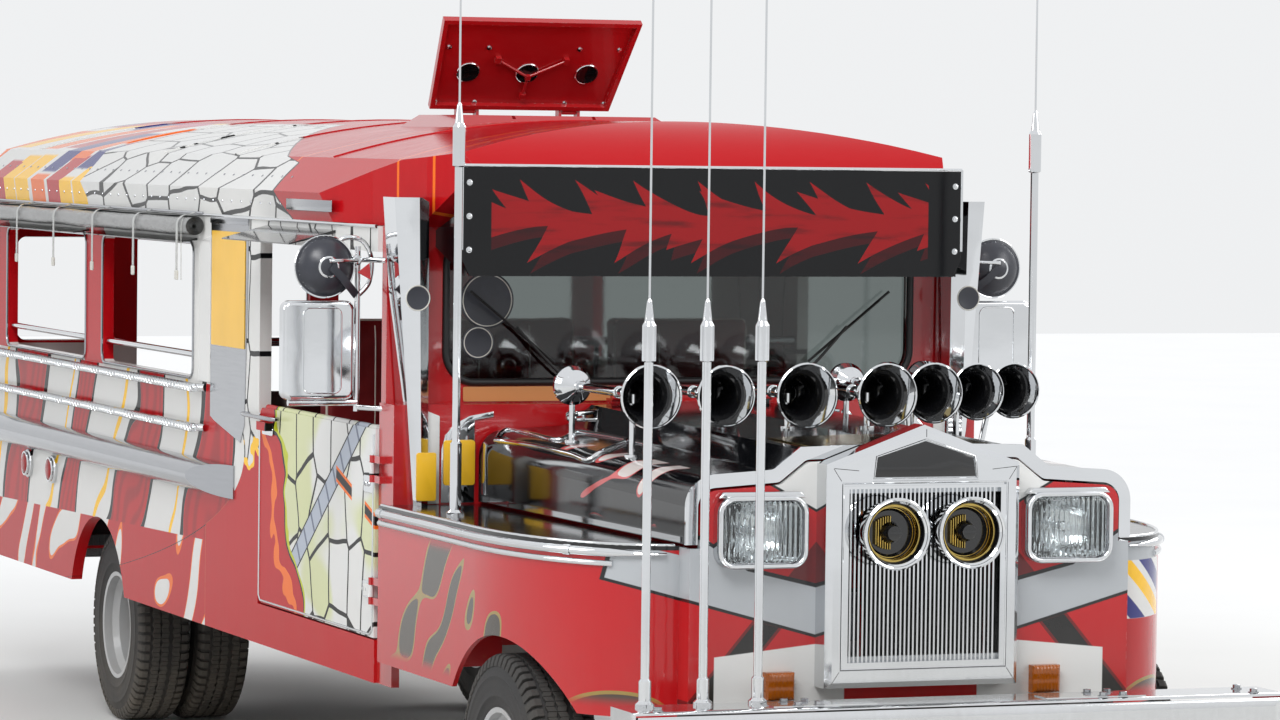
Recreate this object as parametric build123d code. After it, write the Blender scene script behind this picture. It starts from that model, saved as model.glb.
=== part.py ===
from build123d import *
import os
from math import cos, pi, sin

os.makedirs("parts", exist_ok=True)

# A jeepney. Millimetres: X to the vehicle's left, Y rearward from the hood's front, Z up from the ground.
# Everything is moved by -MID_Y when it is written, so that the part's origin is under its middle.

# Overall stations along Y
BUMPER_FRONT = -400
AXLE_FRONT = 600
FENDER_FRONT = 60
COWL_FRONT = 1655
SCREEN_Y = 1740
DOOR_FRONT = 1800
DOOR_REAR = 3020
WINDOW_FRONT = 3810
WINDOW_LENGTH = 1190
WINDOW_POST = 240
AXLE_REAR = 5050
BODY_REAR = 6790
STEP_REAR = 7000
MID_Y = (BUMPER_FRONT + STEP_REAR) / 2

# Half widths along X
BODY_HALF = 965
BODY_WALL = 40
COWL_INSET = 10
PILLAR_SPAN = 135
FENDER_OUT = 35
CAB_HALF = BODY_HALF - COWL_INSET
SCREEN_HALF = BODY_HALF - PILLAR_SPAN
FENDER_HALF = BODY_HALF + FENDER_OUT
HOOD_HALF = 660
HOOD_HALF_REAR = 690

# Heights along Z
FRAME_TOP = 600
FLOOR_TOP = 640
SKIRT_BOTTOM = 480
FENDER_TOP = 1030
SILL_TOP = 1310
WINDOW_TOP = 1760
GUTTER = 1862
CREASE = 1955
CROWN = 2190
HOOD_TOP = 1300
HOOD_TOP_REAR = 1335
COWL_TOP = 1330

# Clearances
SEAM = 5
TOUCH = 0.3
RUN = 0.06

# Wheels
TYRE_R = 345
TYRE_W = 200
RIM_R = 186
TRACK_FRONT = 890
KINGPIN_X = 700
TWIN_INNER = 578
TWIN_OUTER = 800
ARCH_R = 385

# Frame
RAIL_X = 400
RAIL_W = 70
RAIL_H = 130
RAIL_T = 10
RAIL_BOTTOM = FRAME_TOP - RAIL_H
RAIL_FRONT = -220
RAIL_REAR = 6740


def block(x0, x1, y0, y1, z0, z1):
    return Pos((x0 + x1) / 2, (y0 + y1) / 2, (z0 + z1) / 2) * Box(abs(x1 - x0), abs(y1 - y0), abs(z1 - z0))


def side_shape(points, x0, x1):
    """A Y,Z outline carried along X."""
    face = make_face(Polyline(*[(x0, y, z) for y, z in points], close=True))
    return extrude(face, amount=x1 - x0, dir=(1, 0, 0))


def front_shape(points, y0, y1):
    """An X,Z outline carried along Y."""
    face = make_face(Polyline(*[(x, y0, z) for x, z in points], close=True))
    return extrude(face, amount=y1 - y0, dir=(0, 1, 0))


def plan_shape(points, z0, z1):
    """An X,Y outline carried along Z."""
    face = make_face(Polyline(*[(x, y, z0) for x, y in points], close=True))
    return extrude(face, amount=z1 - z0, dir=(0, 0, 1))


def rod(start, end, radius):
    axis = Vector(*end) - Vector(*start)
    return extrude(Plane(origin=start, z_dir=axis) * Circle(radius), amount=axis.length)


def bent_rod(points, radius, bend):
    path = FilletPolyline(*points, radius=bend)
    start = Plane(origin=points[0], z_dir=Vector(*points[1]) - Vector(*points[0]))
    return sweep(start * Circle(radius), path=path)


def disc_x(x0, x1, y, z, radius):
    return rod((x0, y, z), (x1, y, z), radius)


def turned_x(points, x, y, z):
    """An outline of (radius, offset along X) turned about the X axis through x, y, z."""
    face = make_face(Polyline(*[(a, r, 0) for r, a in points], close=True))
    return Pos(x, y, z) * revolve(face, Axis.X)


def turned_y(points, x, y, z):
    """An outline of (radius, offset along Y) turned about the Y axis through x, y, z."""
    face = make_face(Polyline(*[(r, a, 0) for r, a in points], close=True))
    return Pos(x, y, z) * revolve(face, Axis.Y)


def turned_z(points, x, y, z):
    """An outline of (radius, height) turned about the Z axis through x, y, z."""
    face = make_face(Polyline(*[(r, 0, a) for r, a in points], close=True))
    return Pos(x, y, z) * revolve(face, Axis.Z)


def flip(shape):
    return mirror(shape, about=Plane.YZ)


def joined(shapes):
    total = shapes[0]
    for shape in shapes[1:]:
        total = total + shape
    return total


def save(name, *shapes):
    solids = []
    for shape in shapes:
        for solid in shape.solids():
            solids.append(Pos(0, -MID_Y, 0) * solid)
    export_step(Compound(children=solids), f"parts/{name}.step")


def spring_leaf(half, low_z, sag, thick, y):
    """One leaf as an arc, with its ends higher than its middle by sag."""
    bottom = ThreePointArc((0, y - half, low_z + sag), (0, y, low_z), (0, y + half, low_z + sag))
    high_z = low_z + thick
    top = ThreePointArc((0, y + half, high_z + sag), (0, y, high_z), (0, y - half, high_z + sag))
    rear = Line((0, y + half, low_z + sag), (0, y + half, high_z + sag))
    front = Line((0, y - half, high_z + sag), (0, y - half, low_z + sag))
    return extrude(make_face([bottom, rear, top, front]), amount=SPRING_W / 2, dir=(1, 0, 0), both=True)


# Leaf springs
SPRING_W = 60
SPRING_HALF = 520
SPRING_SAG = 10
LEAF_T = 10
LEAF_STEP = 110
LEAVES = 4
SPRING_SEAT = 396
EYE_R = 20
HANGER_T = 9
MAIN_LEAF = SPRING_SEAT + (LEAVES - 1) * LEAF_T
EYE_Z = MAIN_LEAF + SPRING_SAG + LEAF_T / 2


def leaf_spring(x, y):
    leaves = []
    for i in range(LEAVES):
        half = SPRING_HALF - i * LEAF_STEP
        sag = SPRING_SAG * (half / SPRING_HALF) ** 2
        leaves.append(spring_leaf(half, MAIN_LEAF - i * LEAF_T, sag, LEAF_T, y))
    for end in (-1, 1):
        eye = disc_x(-SPRING_W / 2, SPRING_W / 2, y + end * SPRING_HALF, EYE_Z, EYE_R)
        leaves.append(eye)
    return Pos(x, 0, 0) * joined(leaves)


def spring_hanger(x, y):
    """Two cheeks under the rail with a pin between them through the spring's eye."""
    gap = SPRING_W / 2 + TOUCH
    cheeks = []
    for side in (-1, 1):
        inner = x + side * gap
        outer = x + side * (gap + HANGER_T)
        cheeks.append(block(inner, outer, y - 28, y + 28, EYE_Z - 28, RAIL_BOTTOM + 12))
    return cheeks


def ladder_frame():
    parts = []
    for side in (-1, 1):
        x = side * RAIL_X
        rail = block(x - RAIL_W / 2, x + RAIL_W / 2, RAIL_FRONT, RAIL_REAR, RAIL_BOTTOM, FRAME_TOP)
        hollow = block(x - RAIL_W / 2 * side, x + (RAIL_W / 2 - RAIL_T) * side,
                       RAIL_FRONT, RAIL_REAR, RAIL_BOTTOM + RAIL_T, FRAME_TOP - RAIL_T)
        parts.append(rail - hollow)
        for axle in (AXLE_FRONT, AXLE_REAR):
            for end in (-1, 1):
                parts += spring_hanger(x, axle + end * SPRING_HALF)
    inner = RAIL_X + RAIL_W / 2 - RAIL_T
    for y in CROSSMEMBERS:
        parts.append(block(-inner, inner, y - 30, y + 30, RAIL_BOTTOM, FRAME_TOP))
    return joined(parts)


CROSSMEMBERS = (-170, 60, 1500, 2700, 4100, 5700, 6700)

# Front beam axle, with a bored boss for each kingpin
BEAM_Z = TYRE_R
BEAM_H = 66
BEAM_W = 56
BOSS_R = 34
BOSS_H = 104
PIN_R = 14


def front_axle():
    beam = block(-KINGPIN_X, KINGPIN_X, AXLE_FRONT - BEAM_W / 2, AXLE_FRONT + BEAM_W / 2,
                 BEAM_Z - BEAM_H / 2, BEAM_Z + BEAM_H / 2)
    groove = block(-KINGPIN_X + 90, KINGPIN_X - 90, AXLE_FRONT + 12, AXLE_FRONT + BEAM_W / 2,
                   BEAM_Z - BEAM_H / 2 + 14, BEAM_Z + BEAM_H / 2 - 14)
    beam = beam - groove - mirror(groove, about=Plane(origin=(0, AXLE_FRONT, 0), z_dir=(0, 1, 0)))
    for side in (-1, 1):
        x = side * KINGPIN_X
        low = BEAM_Z - BOSS_H / 2
        beam = beam + rod((x, AXLE_FRONT, low), (x, AXLE_FRONT, low + BOSS_H), BOSS_R)
        beam = beam - rod((x, AXLE_FRONT, 0), (x, AXLE_FRONT, 2 * BEAM_Z), PIN_R + TOUCH)
        pad_x = side * RAIL_X
        beam = beam + block(pad_x - 45, pad_x + 45, AXLE_FRONT - 45, AXLE_FRONT + 45,
                            BEAM_Z + BEAM_H / 2, SPRING_SEAT)
    return beam


# Rear axle
TUBE_R = 42
SPINDLE_R = 26
DIFF_R = 150
HUB_INNER = TWIN_INNER - TYRE_W / 2 + 8
NOSE_END = AXLE_REAR - 230
GEARBOX_END = 1470
SHAFT_Z = 430
STUB_END = HUB_INNER + 70
SHAFT_R = 34


def rear_axle():
    """Tube, differential and the propeller shaft up to the gearbox."""
    tube = disc_x(-HUB_INNER, HUB_INNER, AXLE_REAR, TYRE_R, TUBE_R)
    bulge = turned_x([(0, -110), (90, -90), (DIFF_R, -40), (DIFF_R, 40), (90, 90), (0, 110)],
                     0, AXLE_REAR, TYRE_R)
    nose = rod((0, AXLE_REAR, TYRE_R), (0, NOSE_END, TYRE_R), 62)
    shaft = rod((0, GEARBOX_END, SHAFT_Z), (0, NOSE_END, TYRE_R), SHAFT_R)
    shaft = shaft - block(-100, 100, GEARBOX_END - 100, GEARBOX_END, 0, FRAME_TOP)
    axle = tube + bulge + nose + shaft + disc_x(-STUB_END, STUB_END, AXLE_REAR, TYRE_R, SPINDLE_R)
    for side in (-1, 1):
        x = side * RAIL_X
        axle = axle + block(x - 40, x + 40, AXLE_REAR - 50, AXLE_REAR + 50, TYRE_R, SPRING_SEAT)
    return axle


# Wheels
def tyre(x, y):
    half = TYRE_W / 2
    section = [(RIM_R, -78), (215, -half + 4), (275, -half), (322, -88), (TYRE_R, -70),
               (TYRE_R, 70), (322, 88), (275, half), (215, half - 4), (RIM_R, 78),
               (RIM_R + 16, 62), (275, 82), (TYRE_R - 22, 62),
               (TYRE_R - 22, -62), (275, -82), (RIM_R + 16, -62)]
    return turned_x(section, x, y, TYRE_R)


HAND_HOLES = 6
HAND_HOLE_R = 19
HAND_HOLE_PCD_R = 122
DISC_T = 8
RIM_T = 7


def rim(x, y, face, dish, crown, root):
    """Barrel with lips, and a disc whose mounting face is at dish and whose edge is at root."""
    seat = RIM_R - TOUCH
    barrel = [(seat, -82), (seat + 8, -86), (seat + 8, -92), (seat - RIM_T, -90), (seat - RIM_T, -60),
              (seat - 30, -40), (seat - 30, 40), (seat - RIM_T, 60), (seat - RIM_T, 90), (seat + 8, 92),
              (seat + 8, 86), (seat, 82), (seat, 52), (seat - 23, 34), (seat - 23, -34), (seat, -52)]
    hoop = turned_x(barrel, 0, 0, 0)
    disc = turned_x([(0, dish), (86, dish), (102, dish + crown), (seat - 26, root),
                     (seat - 26, root - DISC_T), (102, dish + crown - DISC_T),
                     (86, dish - DISC_T), (0, dish - DISC_T)], 0, 0, 0)
    wheel = hoop + disc
    for i in range(HAND_HOLES):
        angle = 2 * pi * i / HAND_HOLES
        wheel = wheel - disc_x(root - 20, dish + 60, HAND_HOLE_PCD_R * cos(angle),
                               HAND_HOLE_PCD_R * sin(angle), HAND_HOLE_R)
    if face < 0:
        wheel = flip(wheel)
    return Pos(x, y, TYRE_R) * wheel


DRUM_R = 140
DRUM_DEPTH = 62
FRONT_DISH = 10
PLATE_GAP = 5
PLATE_T = 8


def front_wheel(side):
    """Rim with the brake drum behind its disc and the hub cap before it."""
    inner = FRONT_DISH - DISC_T
    bore = SPINDLE_R + RUN
    drum = turned_x([(bore, inner - DRUM_DEPTH), (DRUM_R, inner - DRUM_DEPTH), (DRUM_R, inner - 20),
                     (86, inner), (0, inner), (0, inner - 20), (bore, inner - 20)], 0, 0, 0)
    cap = turned_x([(0, FRONT_DISH), (70, FRONT_DISH), (62, FRONT_DISH + 34), (40, FRONT_DISH + 52),
                    (0, FRONT_DISH + 56)], 0, 0, 0)
    hub = drum + cap
    if side < 0:
        hub = flip(hub)
    x = side * TRACK_FRONT
    return rim(x, AXLE_FRONT, side, FRONT_DISH, 14, -10) + Pos(x, AXLE_FRONT, TYRE_R) * hub


def knuckle(side):
    """Yoke round the axle's boss, kingpin, backing plate and spindle."""
    x = KINGPIN_X
    top = BEAM_Z + BOSS_H / 2 + 1
    low = BEAM_Z - BOSS_H / 2 - 1
    body = rod((x, AXLE_FRONT, top), (x, AXLE_FRONT, top + 26), BOSS_R)
    body = body + rod((x, AXLE_FRONT, low - 26), (x, AXLE_FRONT, low), BOSS_R)
    body = body + rod((x, AXLE_FRONT, low - 20), (x, AXLE_FRONT, top + 20), PIN_R)
    web = block(x, x + 60, AXLE_FRONT - 30, AXLE_FRONT + 30, low - 26, top + 26)
    web = web - block(x - 60, x + BOSS_R + 4, AXLE_FRONT - 60, AXLE_FRONT + 60, low, top)
    body = body + web
    inner = TRACK_FRONT + FRONT_DISH - DISC_T
    plate_x = inner - DRUM_DEPTH - PLATE_GAP - PLATE_T
    body = body + disc_x(plate_x, plate_x + PLATE_T, AXLE_FRONT, BEAM_Z, DRUM_R - 15)
    body = body + disc_x(x + 50, inner - 21, AXLE_FRONT, BEAM_Z, SPINDLE_R)
    return body if side > 0 else flip(body)


TWIN_FACE = (TWIN_INNER + TWIN_OUTER) / 2
TWIN_DISH = TWIN_FACE - TWIN_INNER
TWIN_ROOT = 45


def rear_wheels(side):
    """Two rims face to face, the drum inside them and the hub's end outside."""
    inner = rim(TWIN_INNER * side, AXLE_REAR, side, TWIN_DISH, 0, TWIN_ROOT)
    outer = rim(TWIN_OUTER * side, AXLE_REAR, -side, TWIN_DISH, 0, TWIN_ROOT)
    seat = TWIN_FACE - DISC_T
    low = HUB_INNER + 1
    bore = SPINDLE_R + RUN
    drum = turned_x([(0, seat), (92, seat), (DRUM_R, seat - 52), (DRUM_R, low + 22), (DRUM_R - 12, low + 22),
                     (DRUM_R - 12, seat - 66), (58, seat - 30), (58, low), (bore, low), (bore, STUB_END + 2),
                     (0, STUB_END + 2)], 0, AXLE_REAR, TYRE_R)
    face = TWIN_FACE + DISC_T
    cap = turned_x([(0, face), (80, face), (72, face + 30), (46, face + 48), (0, face + 52)],
                   0, AXLE_REAR, TYRE_R)
    hub = drum + cap
    if side < 0:
        hub = flip(hub)
    return inner + outer + hub


def engine():
    """One plain block at the engine's place, with its gearbox and its feet on the rails."""
    block_half = 190
    body = block(-block_half, block_half, 150, 900, 500, 1060)
    sump = block(-130, 130, 200, 520, 440, 500)
    gearbox = block(-110, 110, 900, GEARBOX_END - 30, 420, 740)
    feet = block(-RAIL_X - 20, RAIL_X + 20, 330, 400, FRAME_TOP, FRAME_TOP + 22)
    tail = block(-60, 60, GEARBOX_END - 30, GEARBOX_END, 390, 590)
    return body + sump + gearbox + feet + tail


PIPE_R = 24
PIPE_X = 250
PIPE_Z = 437
PIPE_FRONT = 760
MUFFLER_R = 78
MUFFLER = (3150, 3750)


def exhaust():
    run = rod((PIPE_X, PIPE_FRONT, PIPE_Z), (PIPE_X, BODY_REAR, PIPE_Z), PIPE_R)
    drum = rod((PIPE_X, MUFFLER[0], PIPE_Z), (PIPE_X, MUFFLER[1], PIPE_Z), MUFFLER_R)
    pipe = run + drum + rod((190, PIPE_FRONT + PIPE_R, 560), (PIPE_X, PIPE_FRONT + PIPE_R, PIPE_Z), PIPE_R)
    pipe = pipe - block(0, 190, 0, PIPE_FRONT + 2 * PIPE_R, 0, FRAME_TOP)
    for y in CROSSMEMBERS[3:]:
        pipe = pipe + block(PIPE_X - 12, PIPE_X + 12, y - 12, y + 12, PIPE_Z, RAIL_BOTTOM)
    return pipe


TANK_X = (RAIL_X + RAIL_W / 2 + 15, BODY_HALF - BODY_WALL - 25)
TANK_Y = (3350, 4150)
TANK_H = 210


def fuel_tank():
    tank = block(TANK_X[0], TANK_X[1], TANK_Y[0], TANK_Y[1], FRAME_TOP - TANK_H, FRAME_TOP)
    long_edges = tank.edges().filter_by(Axis.Y)
    return fillet(long_edges, 30)


# Front bumper
BUMPER_REAR = RAIL_FRONT
BUMPER_LOW = 470
BUMPER_TOP = 632
BUMPER_HALF = BODY_HALF - 5
BUMPER_T = 8
BUMPER_SOFT = 34


def bumper():
    """A channel open to the rear, with rounded front edges and closed ends."""
    outer = block(-BUMPER_HALF, BUMPER_HALF, BUMPER_FRONT, BUMPER_REAR, BUMPER_LOW, BUMPER_TOP)
    outer = fillet(outer.faces().sort_by(Axis.Y)[0].edges(), BUMPER_SOFT)
    inner = block(-BUMPER_HALF + BUMPER_T, BUMPER_HALF - BUMPER_T, BUMPER_FRONT + BUMPER_T, BUMPER_REAR,
                  BUMPER_LOW + BUMPER_T, BUMPER_TOP - BUMPER_T)
    shell = outer - inner
    for side in (-1, 1):
        x = side * RAIL_X
        shell = shell + block(x - 35, x + 35, BUMPER_FRONT + BUMPER_T, BUMPER_REAR, BUMPER_LOW + 20,
                              BUMPER_TOP - 50)
        step = block(x - 150, x + 150, BUMPER_FRONT + 40, BUMPER_REAR - 62, BUMPER_TOP, BUMPER_TOP + 3)
        shell = shell + step
    return shell


# Fenders
SHELF_IN = HOOD_HALF
APRON_LOW = 560
INNER_APRON_LOW = 760
FENDER_SWEEP = 720
FENDER_T = 14
FRONT_ARCH_R = 450
FRONT_ARCH_Z = TYRE_R - 55


def fender_plan(inset, rear, low, high):
    """The shelf's plan, swept from its outer edge round to the hood in a quarter of an ellipse."""
    inner = SHELF_IN + inset
    out = FENDER_HALF - inset
    middle = FENDER_FRONT + FENDER_SWEEP
    edge = Polyline((inner, FENDER_FRONT + inset), (inner, rear), (out, rear), (out, middle))
    curve = EllipticalCenterArc((inner, middle), out - inner, FENDER_SWEEP - inset, 270, arc_size=90)
    return extrude(Pos(0, 0, low) * make_face([edge, curve]), amount=high - low, dir=(0, 0, 1))


def fender(side):
    """A shelf swept round to the hood, its apron, the wheel's arch and the inner splash wall."""
    y1 = COWL_FRONT
    shell = fender_plan(0, y1, APRON_LOW, FENDER_TOP)
    shell = shell - fender_plan(FENDER_T, y1 + 50, APRON_LOW - 10, FENDER_TOP - FENDER_T)
    shell = shell - block(SHELF_IN - 1, SHELF_IN + FENDER_T + 1, FENDER_FRONT + 140, y1 + 1,
                          APRON_LOW - 1, INNER_APRON_LOW)
    shell = shell - disc_x(SHELF_IN + 40, FENDER_HALF + 10, AXLE_FRONT, FRONT_ARCH_Z, FRONT_ARCH_R)
    shell = shell + block(SHELF_IN + FENDER_T, FENDER_HALF - FENDER_T, y1 - 200, y1 - 200 + FENDER_T,
                          APRON_LOW, FENDER_TOP - FENDER_T)
    return shell if side > 0 else flip(shell)


# Hood: an arch in front view, stepped down at its shoulders
HOOD_LOW = FENDER_TOP + 8
STEP_OUT = 410
STEP_IN = 330
SHOULDER_DROP = 85
SHOULDER_R = 80
STEP_R = 30
HOOD_REAR = COWL_FRONT - 15
HOOD_T = 14
HOOD_HINGE_Z = HOOD_TOP_REAR + 12


def arch_face(half, top, low, inset, y):
    """The hood's section at y, drawn inset inward: sides, rounded shoulders, a step up and a flat crown."""
    side = half - inset
    shoulder = top - SHOULDER_DROP - inset
    crown = top - inset
    right = [(side, low), (side, shoulder), (STEP_OUT - inset / 2, shoulder + 16),
             (STEP_IN - inset / 2, crown - 8), (0, crown)]
    left = [(-x, z) for x, z in reversed(right[:-1])]
    face = make_face(Polyline(*[(x, y, z) for x, z in right + left], close=True))
    shoulders = [v for v in face.vertices() if abs(abs(v.X) - side) < 1 and v.Z > low + 1]
    face = fillet(shoulders, SHOULDER_R - inset)
    steps = [v for v in face.vertices() if STEP_IN - inset < abs(v.X) < STEP_OUT + 5]
    return fillet(steps, STEP_R)


def hood_block():
    return loft([arch_face(HOOD_HALF, HOOD_TOP, HOOD_LOW, 0, 0),
                 arch_face(HOOD_HALF_REAR, HOOD_TOP_REAR, HOOD_LOW, 0, HOOD_REAR)], ruled=True)


def hood():
    low = HOOD_LOW - 20
    inner = loft([arch_face(HOOD_HALF, HOOD_TOP, low, HOOD_T, -1),
                  arch_face(HOOD_HALF_REAR, HOOD_TOP_REAR, low, HOOD_T, HOOD_REAR + 1)], ruled=True)
    return hood_block() - inner


# Mouldings that ride on the hood
MOULD_W = 26
MOULD_T = 9


def hood_mouldings():
    """A band round the hood's front edge, and on each side a strip that runs back and steps down."""
    outer = arch_face(HOOD_HALF, HOOD_TOP, HOOD_LOW, -MOULD_T, -MOULD_T)
    outer = extrude(outer, amount=MOULD_T, dir=(0, 1, 0))
    inner = arch_face(HOOD_HALF, HOOD_TOP, HOOD_LOW - 30, MOULD_W, -MOULD_T - 1)
    inner = extrude(inner, amount=MOULD_T + 2, dir=(0, 1, 0))
    pieces = [outer - inner]
    under = hood_block()
    lean = (HOOD_HALF_REAR - HOOD_HALF) / HOOD_REAR
    line = [(30, HOOD_LOW + 4), (30, HOOD_LOW + 20), (HOOD_REAR - 60, HOOD_LOW + 20),
            (HOOD_REAR - 60, HOOD_LOW + 4)]
    for side in (-1, 1):
        strip = side_shape(line, -6, MOULD_T)
        strip = Pos(HOOD_HALF, 0, 0) * Rot(0, 0, -lean * 180 / pi) * strip - under
        pieces.append(strip if side > 0 else flip(strip))
    return pieces


# Air horns: x of the mouth, y of the mouth, mouth radius
HORNS = (
    (-575, 500, 88),
    (-348, 500, 84),
    (-100, 500, 90),
    (148, 500, 88),
    (336, 590, 84),
    (500, 650, 80),
    (640, 700, 78),
)
HORN_Z = 1412
HORN_LENGTH = 640
HORN_TUBE_R = 13
DRIVER_R = 58
HORN_WALL = 3
POST_R = 9


def horn(x, y, mouth):
    """A flared bell, its tube and the round driver at the rear end."""
    flare = [(mouth, 0), (mouth + 3, 4), (mouth, 9), (mouth * 0.72, 42), (mouth * 0.45, 105),
             (HORN_TUBE_R + 6, 200), (HORN_TUBE_R, 260), (HORN_TUBE_R, HORN_LENGTH - 60),
             (24, HORN_LENGTH - 46), (DRIVER_R * 0.8, HORN_LENGTH - 24), (DRIVER_R, HORN_LENGTH),
             (DRIVER_R, HORN_LENGTH + 14), (DRIVER_R - 16, HORN_LENGTH + 26), (0, HORN_LENGTH + 30), (0, 190),
             (HORN_TUBE_R, 190), (mouth * 0.45 - HORN_WALL, 104), (mouth * 0.72 - HORN_WALL, 40),
             (mouth - HORN_WALL, 7)]
    return turned_y(flare, x, y, HORN_Z)


def hood_height(x, y):
    """The crown or shoulder height of the hood's outer face at x, y."""
    share = y / HOOD_REAR
    top = HOOD_TOP + (HOOD_TOP_REAR - HOOD_TOP) * share
    if abs(x) < STEP_IN - STEP_R:
        return top - 8 * abs(x) / STEP_IN
    if abs(x) > STEP_OUT + STEP_R:
        half = HOOD_HALF + (HOOD_HALF_REAR - HOOD_HALF) * share
        level = top - SHOULDER_DROP + 16 * (half - abs(x)) / (half - STEP_OUT)
        inward = half - abs(x)
        if inward < SHOULDER_R:
            level = level - SHOULDER_R + (SHOULDER_R ** 2 - (SHOULDER_R - inward) ** 2) ** 0.5
        return level
    return top - SHOULDER_DROP + 16


def air_horns():
    pieces = []
    under = hood_block()
    for x, y, mouth in HORNS:
        body = horn(x, y, mouth)
        for along in (150, HORN_LENGTH + 5):
            foot_x = max(-HOOD_HALF + 60, min(HOOD_HALF - 60, x))
            base = (foot_x, y + along, hood_height(foot_x, y + along) - 10)
            body = body + rod(base, (x, y + along, HORN_Z), POST_R)
            body = body + rod(base, (base[0], base[1], base[2] + 16), 22)
        pieces.append(body - under)
    return pieces


# Nose panel and what is on it
NOSE_T = 24
NOSE_FACE = -18
NOSE_LOW = 600
NOSE_INSET = MOULD_W + 6
LAMP_X = 460
LAMP_Z = 1072
LAMP_W = 262
LAMP_H = 196
LAMP_R = 46
CORE_HALF = 222
CORE_LOW = 650
CORE_TOP = 1200


def lamp_outline(x, y, grow):
    plane = Plane(origin=(x, y, LAMP_Z), x_dir=(1, 0, 0), z_dir=(0, -1, 0))
    return plane * RectangleRounded(LAMP_W + 2 * grow, LAMP_H + 2 * grow, LAMP_R + grow)


def nose_panel():
    low = front_shape([(-HOOD_HALF, NOSE_LOW), (HOOD_HALF, NOSE_LOW), (HOOD_HALF, FENDER_TOP - 2),
                       (-HOOD_HALF, FENDER_TOP - 2)], NOSE_FACE, NOSE_FACE + NOSE_T)
    top = arch_face(HOOD_HALF, HOOD_TOP, FENDER_TOP - 20, NOSE_INSET, NOSE_FACE)
    panel = low + extrude(top, amount=NOSE_T, dir=(0, 1, 0))
    for side in (-1, 1):
        panel = panel + block(side * (HOOD_HALF - 14), side * HOOD_HALF, NOSE_FACE, FENDER_FRONT + 40,
                              NOSE_LOW, FENDER_TOP - 2)
        panel = panel - extrude(lamp_outline(side * LAMP_X, NOSE_FACE - 50, TOUCH), amount=-200)
    panel = panel - block(-CORE_HALF, CORE_HALF, -200, 200, CORE_LOW + 40, CORE_TOP - 20)
    return panel


BEZEL = 14


def headlamps():
    """Bucket, bezel ring and lens for each side."""
    buckets = []
    lenses = []
    for side in (-1, 1):
        x = side * LAMP_X
        cup = extrude(lamp_outline(x, NOSE_FACE + NOSE_T + 50, 0), amount=50 + NOSE_T + 26)
        pocket = extrude(lamp_outline(x, NOSE_FACE + NOSE_T + 30, -BEZEL), amount=160)
        buckets.append(cup - pocket)
        lens = extrude(lamp_outline(x, NOSE_FACE - 16, -BEZEL - TOUCH), amount=20)
        lens = fillet(lens.faces().sort_by(Axis.Y)[0].edges(), 12)
        lenses.append(lens)
    return buckets, lenses


TURN_X = 400
TURN_Z = 650
TURN_W = 84
TURN_H = 76


def turn_lamps():
    lamps = []
    for side in (-1, 1):
        lamp = block(side * TURN_X - TURN_W / 2, side * TURN_X + TURN_W / 2, NOSE_FACE - 34, NOSE_FACE,
                     TURN_Z - TURN_H / 2, TURN_Z + TURN_H / 2)
        lamps.append(fillet(lamp.faces().sort_by(Axis.Y)[0].edges(), 12))
    return lamps


def radiator():
    core = block(-CORE_HALF + 4, CORE_HALF - 4, 20, 75, CORE_LOW, CORE_TOP)
    foot = block(-CORE_HALF + 4, CORE_HALF - 4, 35, 65, FRAME_TOP, CORE_LOW)
    return core + foot


# Grille shell
SHELL_HALF = 289
SHELL_LOW = 645
SHELL_SHOULDER = 1257
SHELL_APEX = SHELL_SHOULDER + 106
SHELL_FRONT = -100
OPEN_HALF = SHELL_HALF - 62
OPEN_LOW = SHELL_LOW + 70
OPEN_TOP = SHELL_SHOULDER - 67
SHELL_BEVEL = 16


def grille_shell():
    outline = [(-SHELL_HALF, SHELL_LOW), (SHELL_HALF, SHELL_LOW), (SHELL_HALF, SHELL_SHOULDER),
               (0, SHELL_APEX), (-SHELL_HALF, SHELL_SHOULDER)]
    shell = front_shape(outline, SHELL_FRONT, NOSE_FACE)
    shell = chamfer(shell.faces().sort_by(Axis.Y)[0].edges(), SHELL_BEVEL)
    opening = block(-OPEN_HALF, OPEN_HALF, SHELL_FRONT - 1, NOSE_FACE + 1, OPEN_LOW, OPEN_TOP)
    shell = shell - opening
    groove = block(-OPEN_HALF - 22, OPEN_HALF + 22, SHELL_FRONT - 1, SHELL_FRONT + 8,
                   OPEN_LOW - 22, OPEN_TOP + 14)
    shell = shell - (groove - block(-OPEN_HALF - 16, OPEN_HALF + 16, SHELL_FRONT - 2, SHELL_FRONT + 9,
                                    OPEN_LOW - 16, OPEN_TOP + 8))
    plate = [(-157, SHELL_SHOULDER - 42), (157, SHELL_SHOULDER - 42), (150, SHELL_SHOULDER + 22),
             (0, SHELL_APEX - 36), (-150, SHELL_SHOULDER + 22)]
    shell = shell - front_shape(plate, SHELL_FRONT - 1, SHELL_FRONT + 5)
    return shell


BARS = 35
BAR_W = 5
BAR_FRONT = -84
BAR_REAR = -62


def grille_bars():
    """Vertical bars between a top and a bottom tie."""
    pieces = [block(-OPEN_HALF, OPEN_HALF, BAR_REAR - 6, BAR_REAR + 6, OPEN_LOW, OPEN_LOW + 14),
              block(-OPEN_HALF, OPEN_HALF, BAR_REAR - 6, BAR_REAR + 6, OPEN_TOP - 14, OPEN_TOP)]
    pitch = 2 * OPEN_HALF / (BARS + 1)
    for i in range(BARS):
        x = -OPEN_HALF + pitch * (i + 1)
        pieces.append(block(x - BAR_W / 2, x + BAR_W / 2, BAR_FRONT, BAR_REAR, OPEN_LOW, OPEN_TOP))
    return joined(pieces)


ROUND_X = 112
ROUND_Z = OPEN_TOP - 119
ROUND_R = 96


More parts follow.
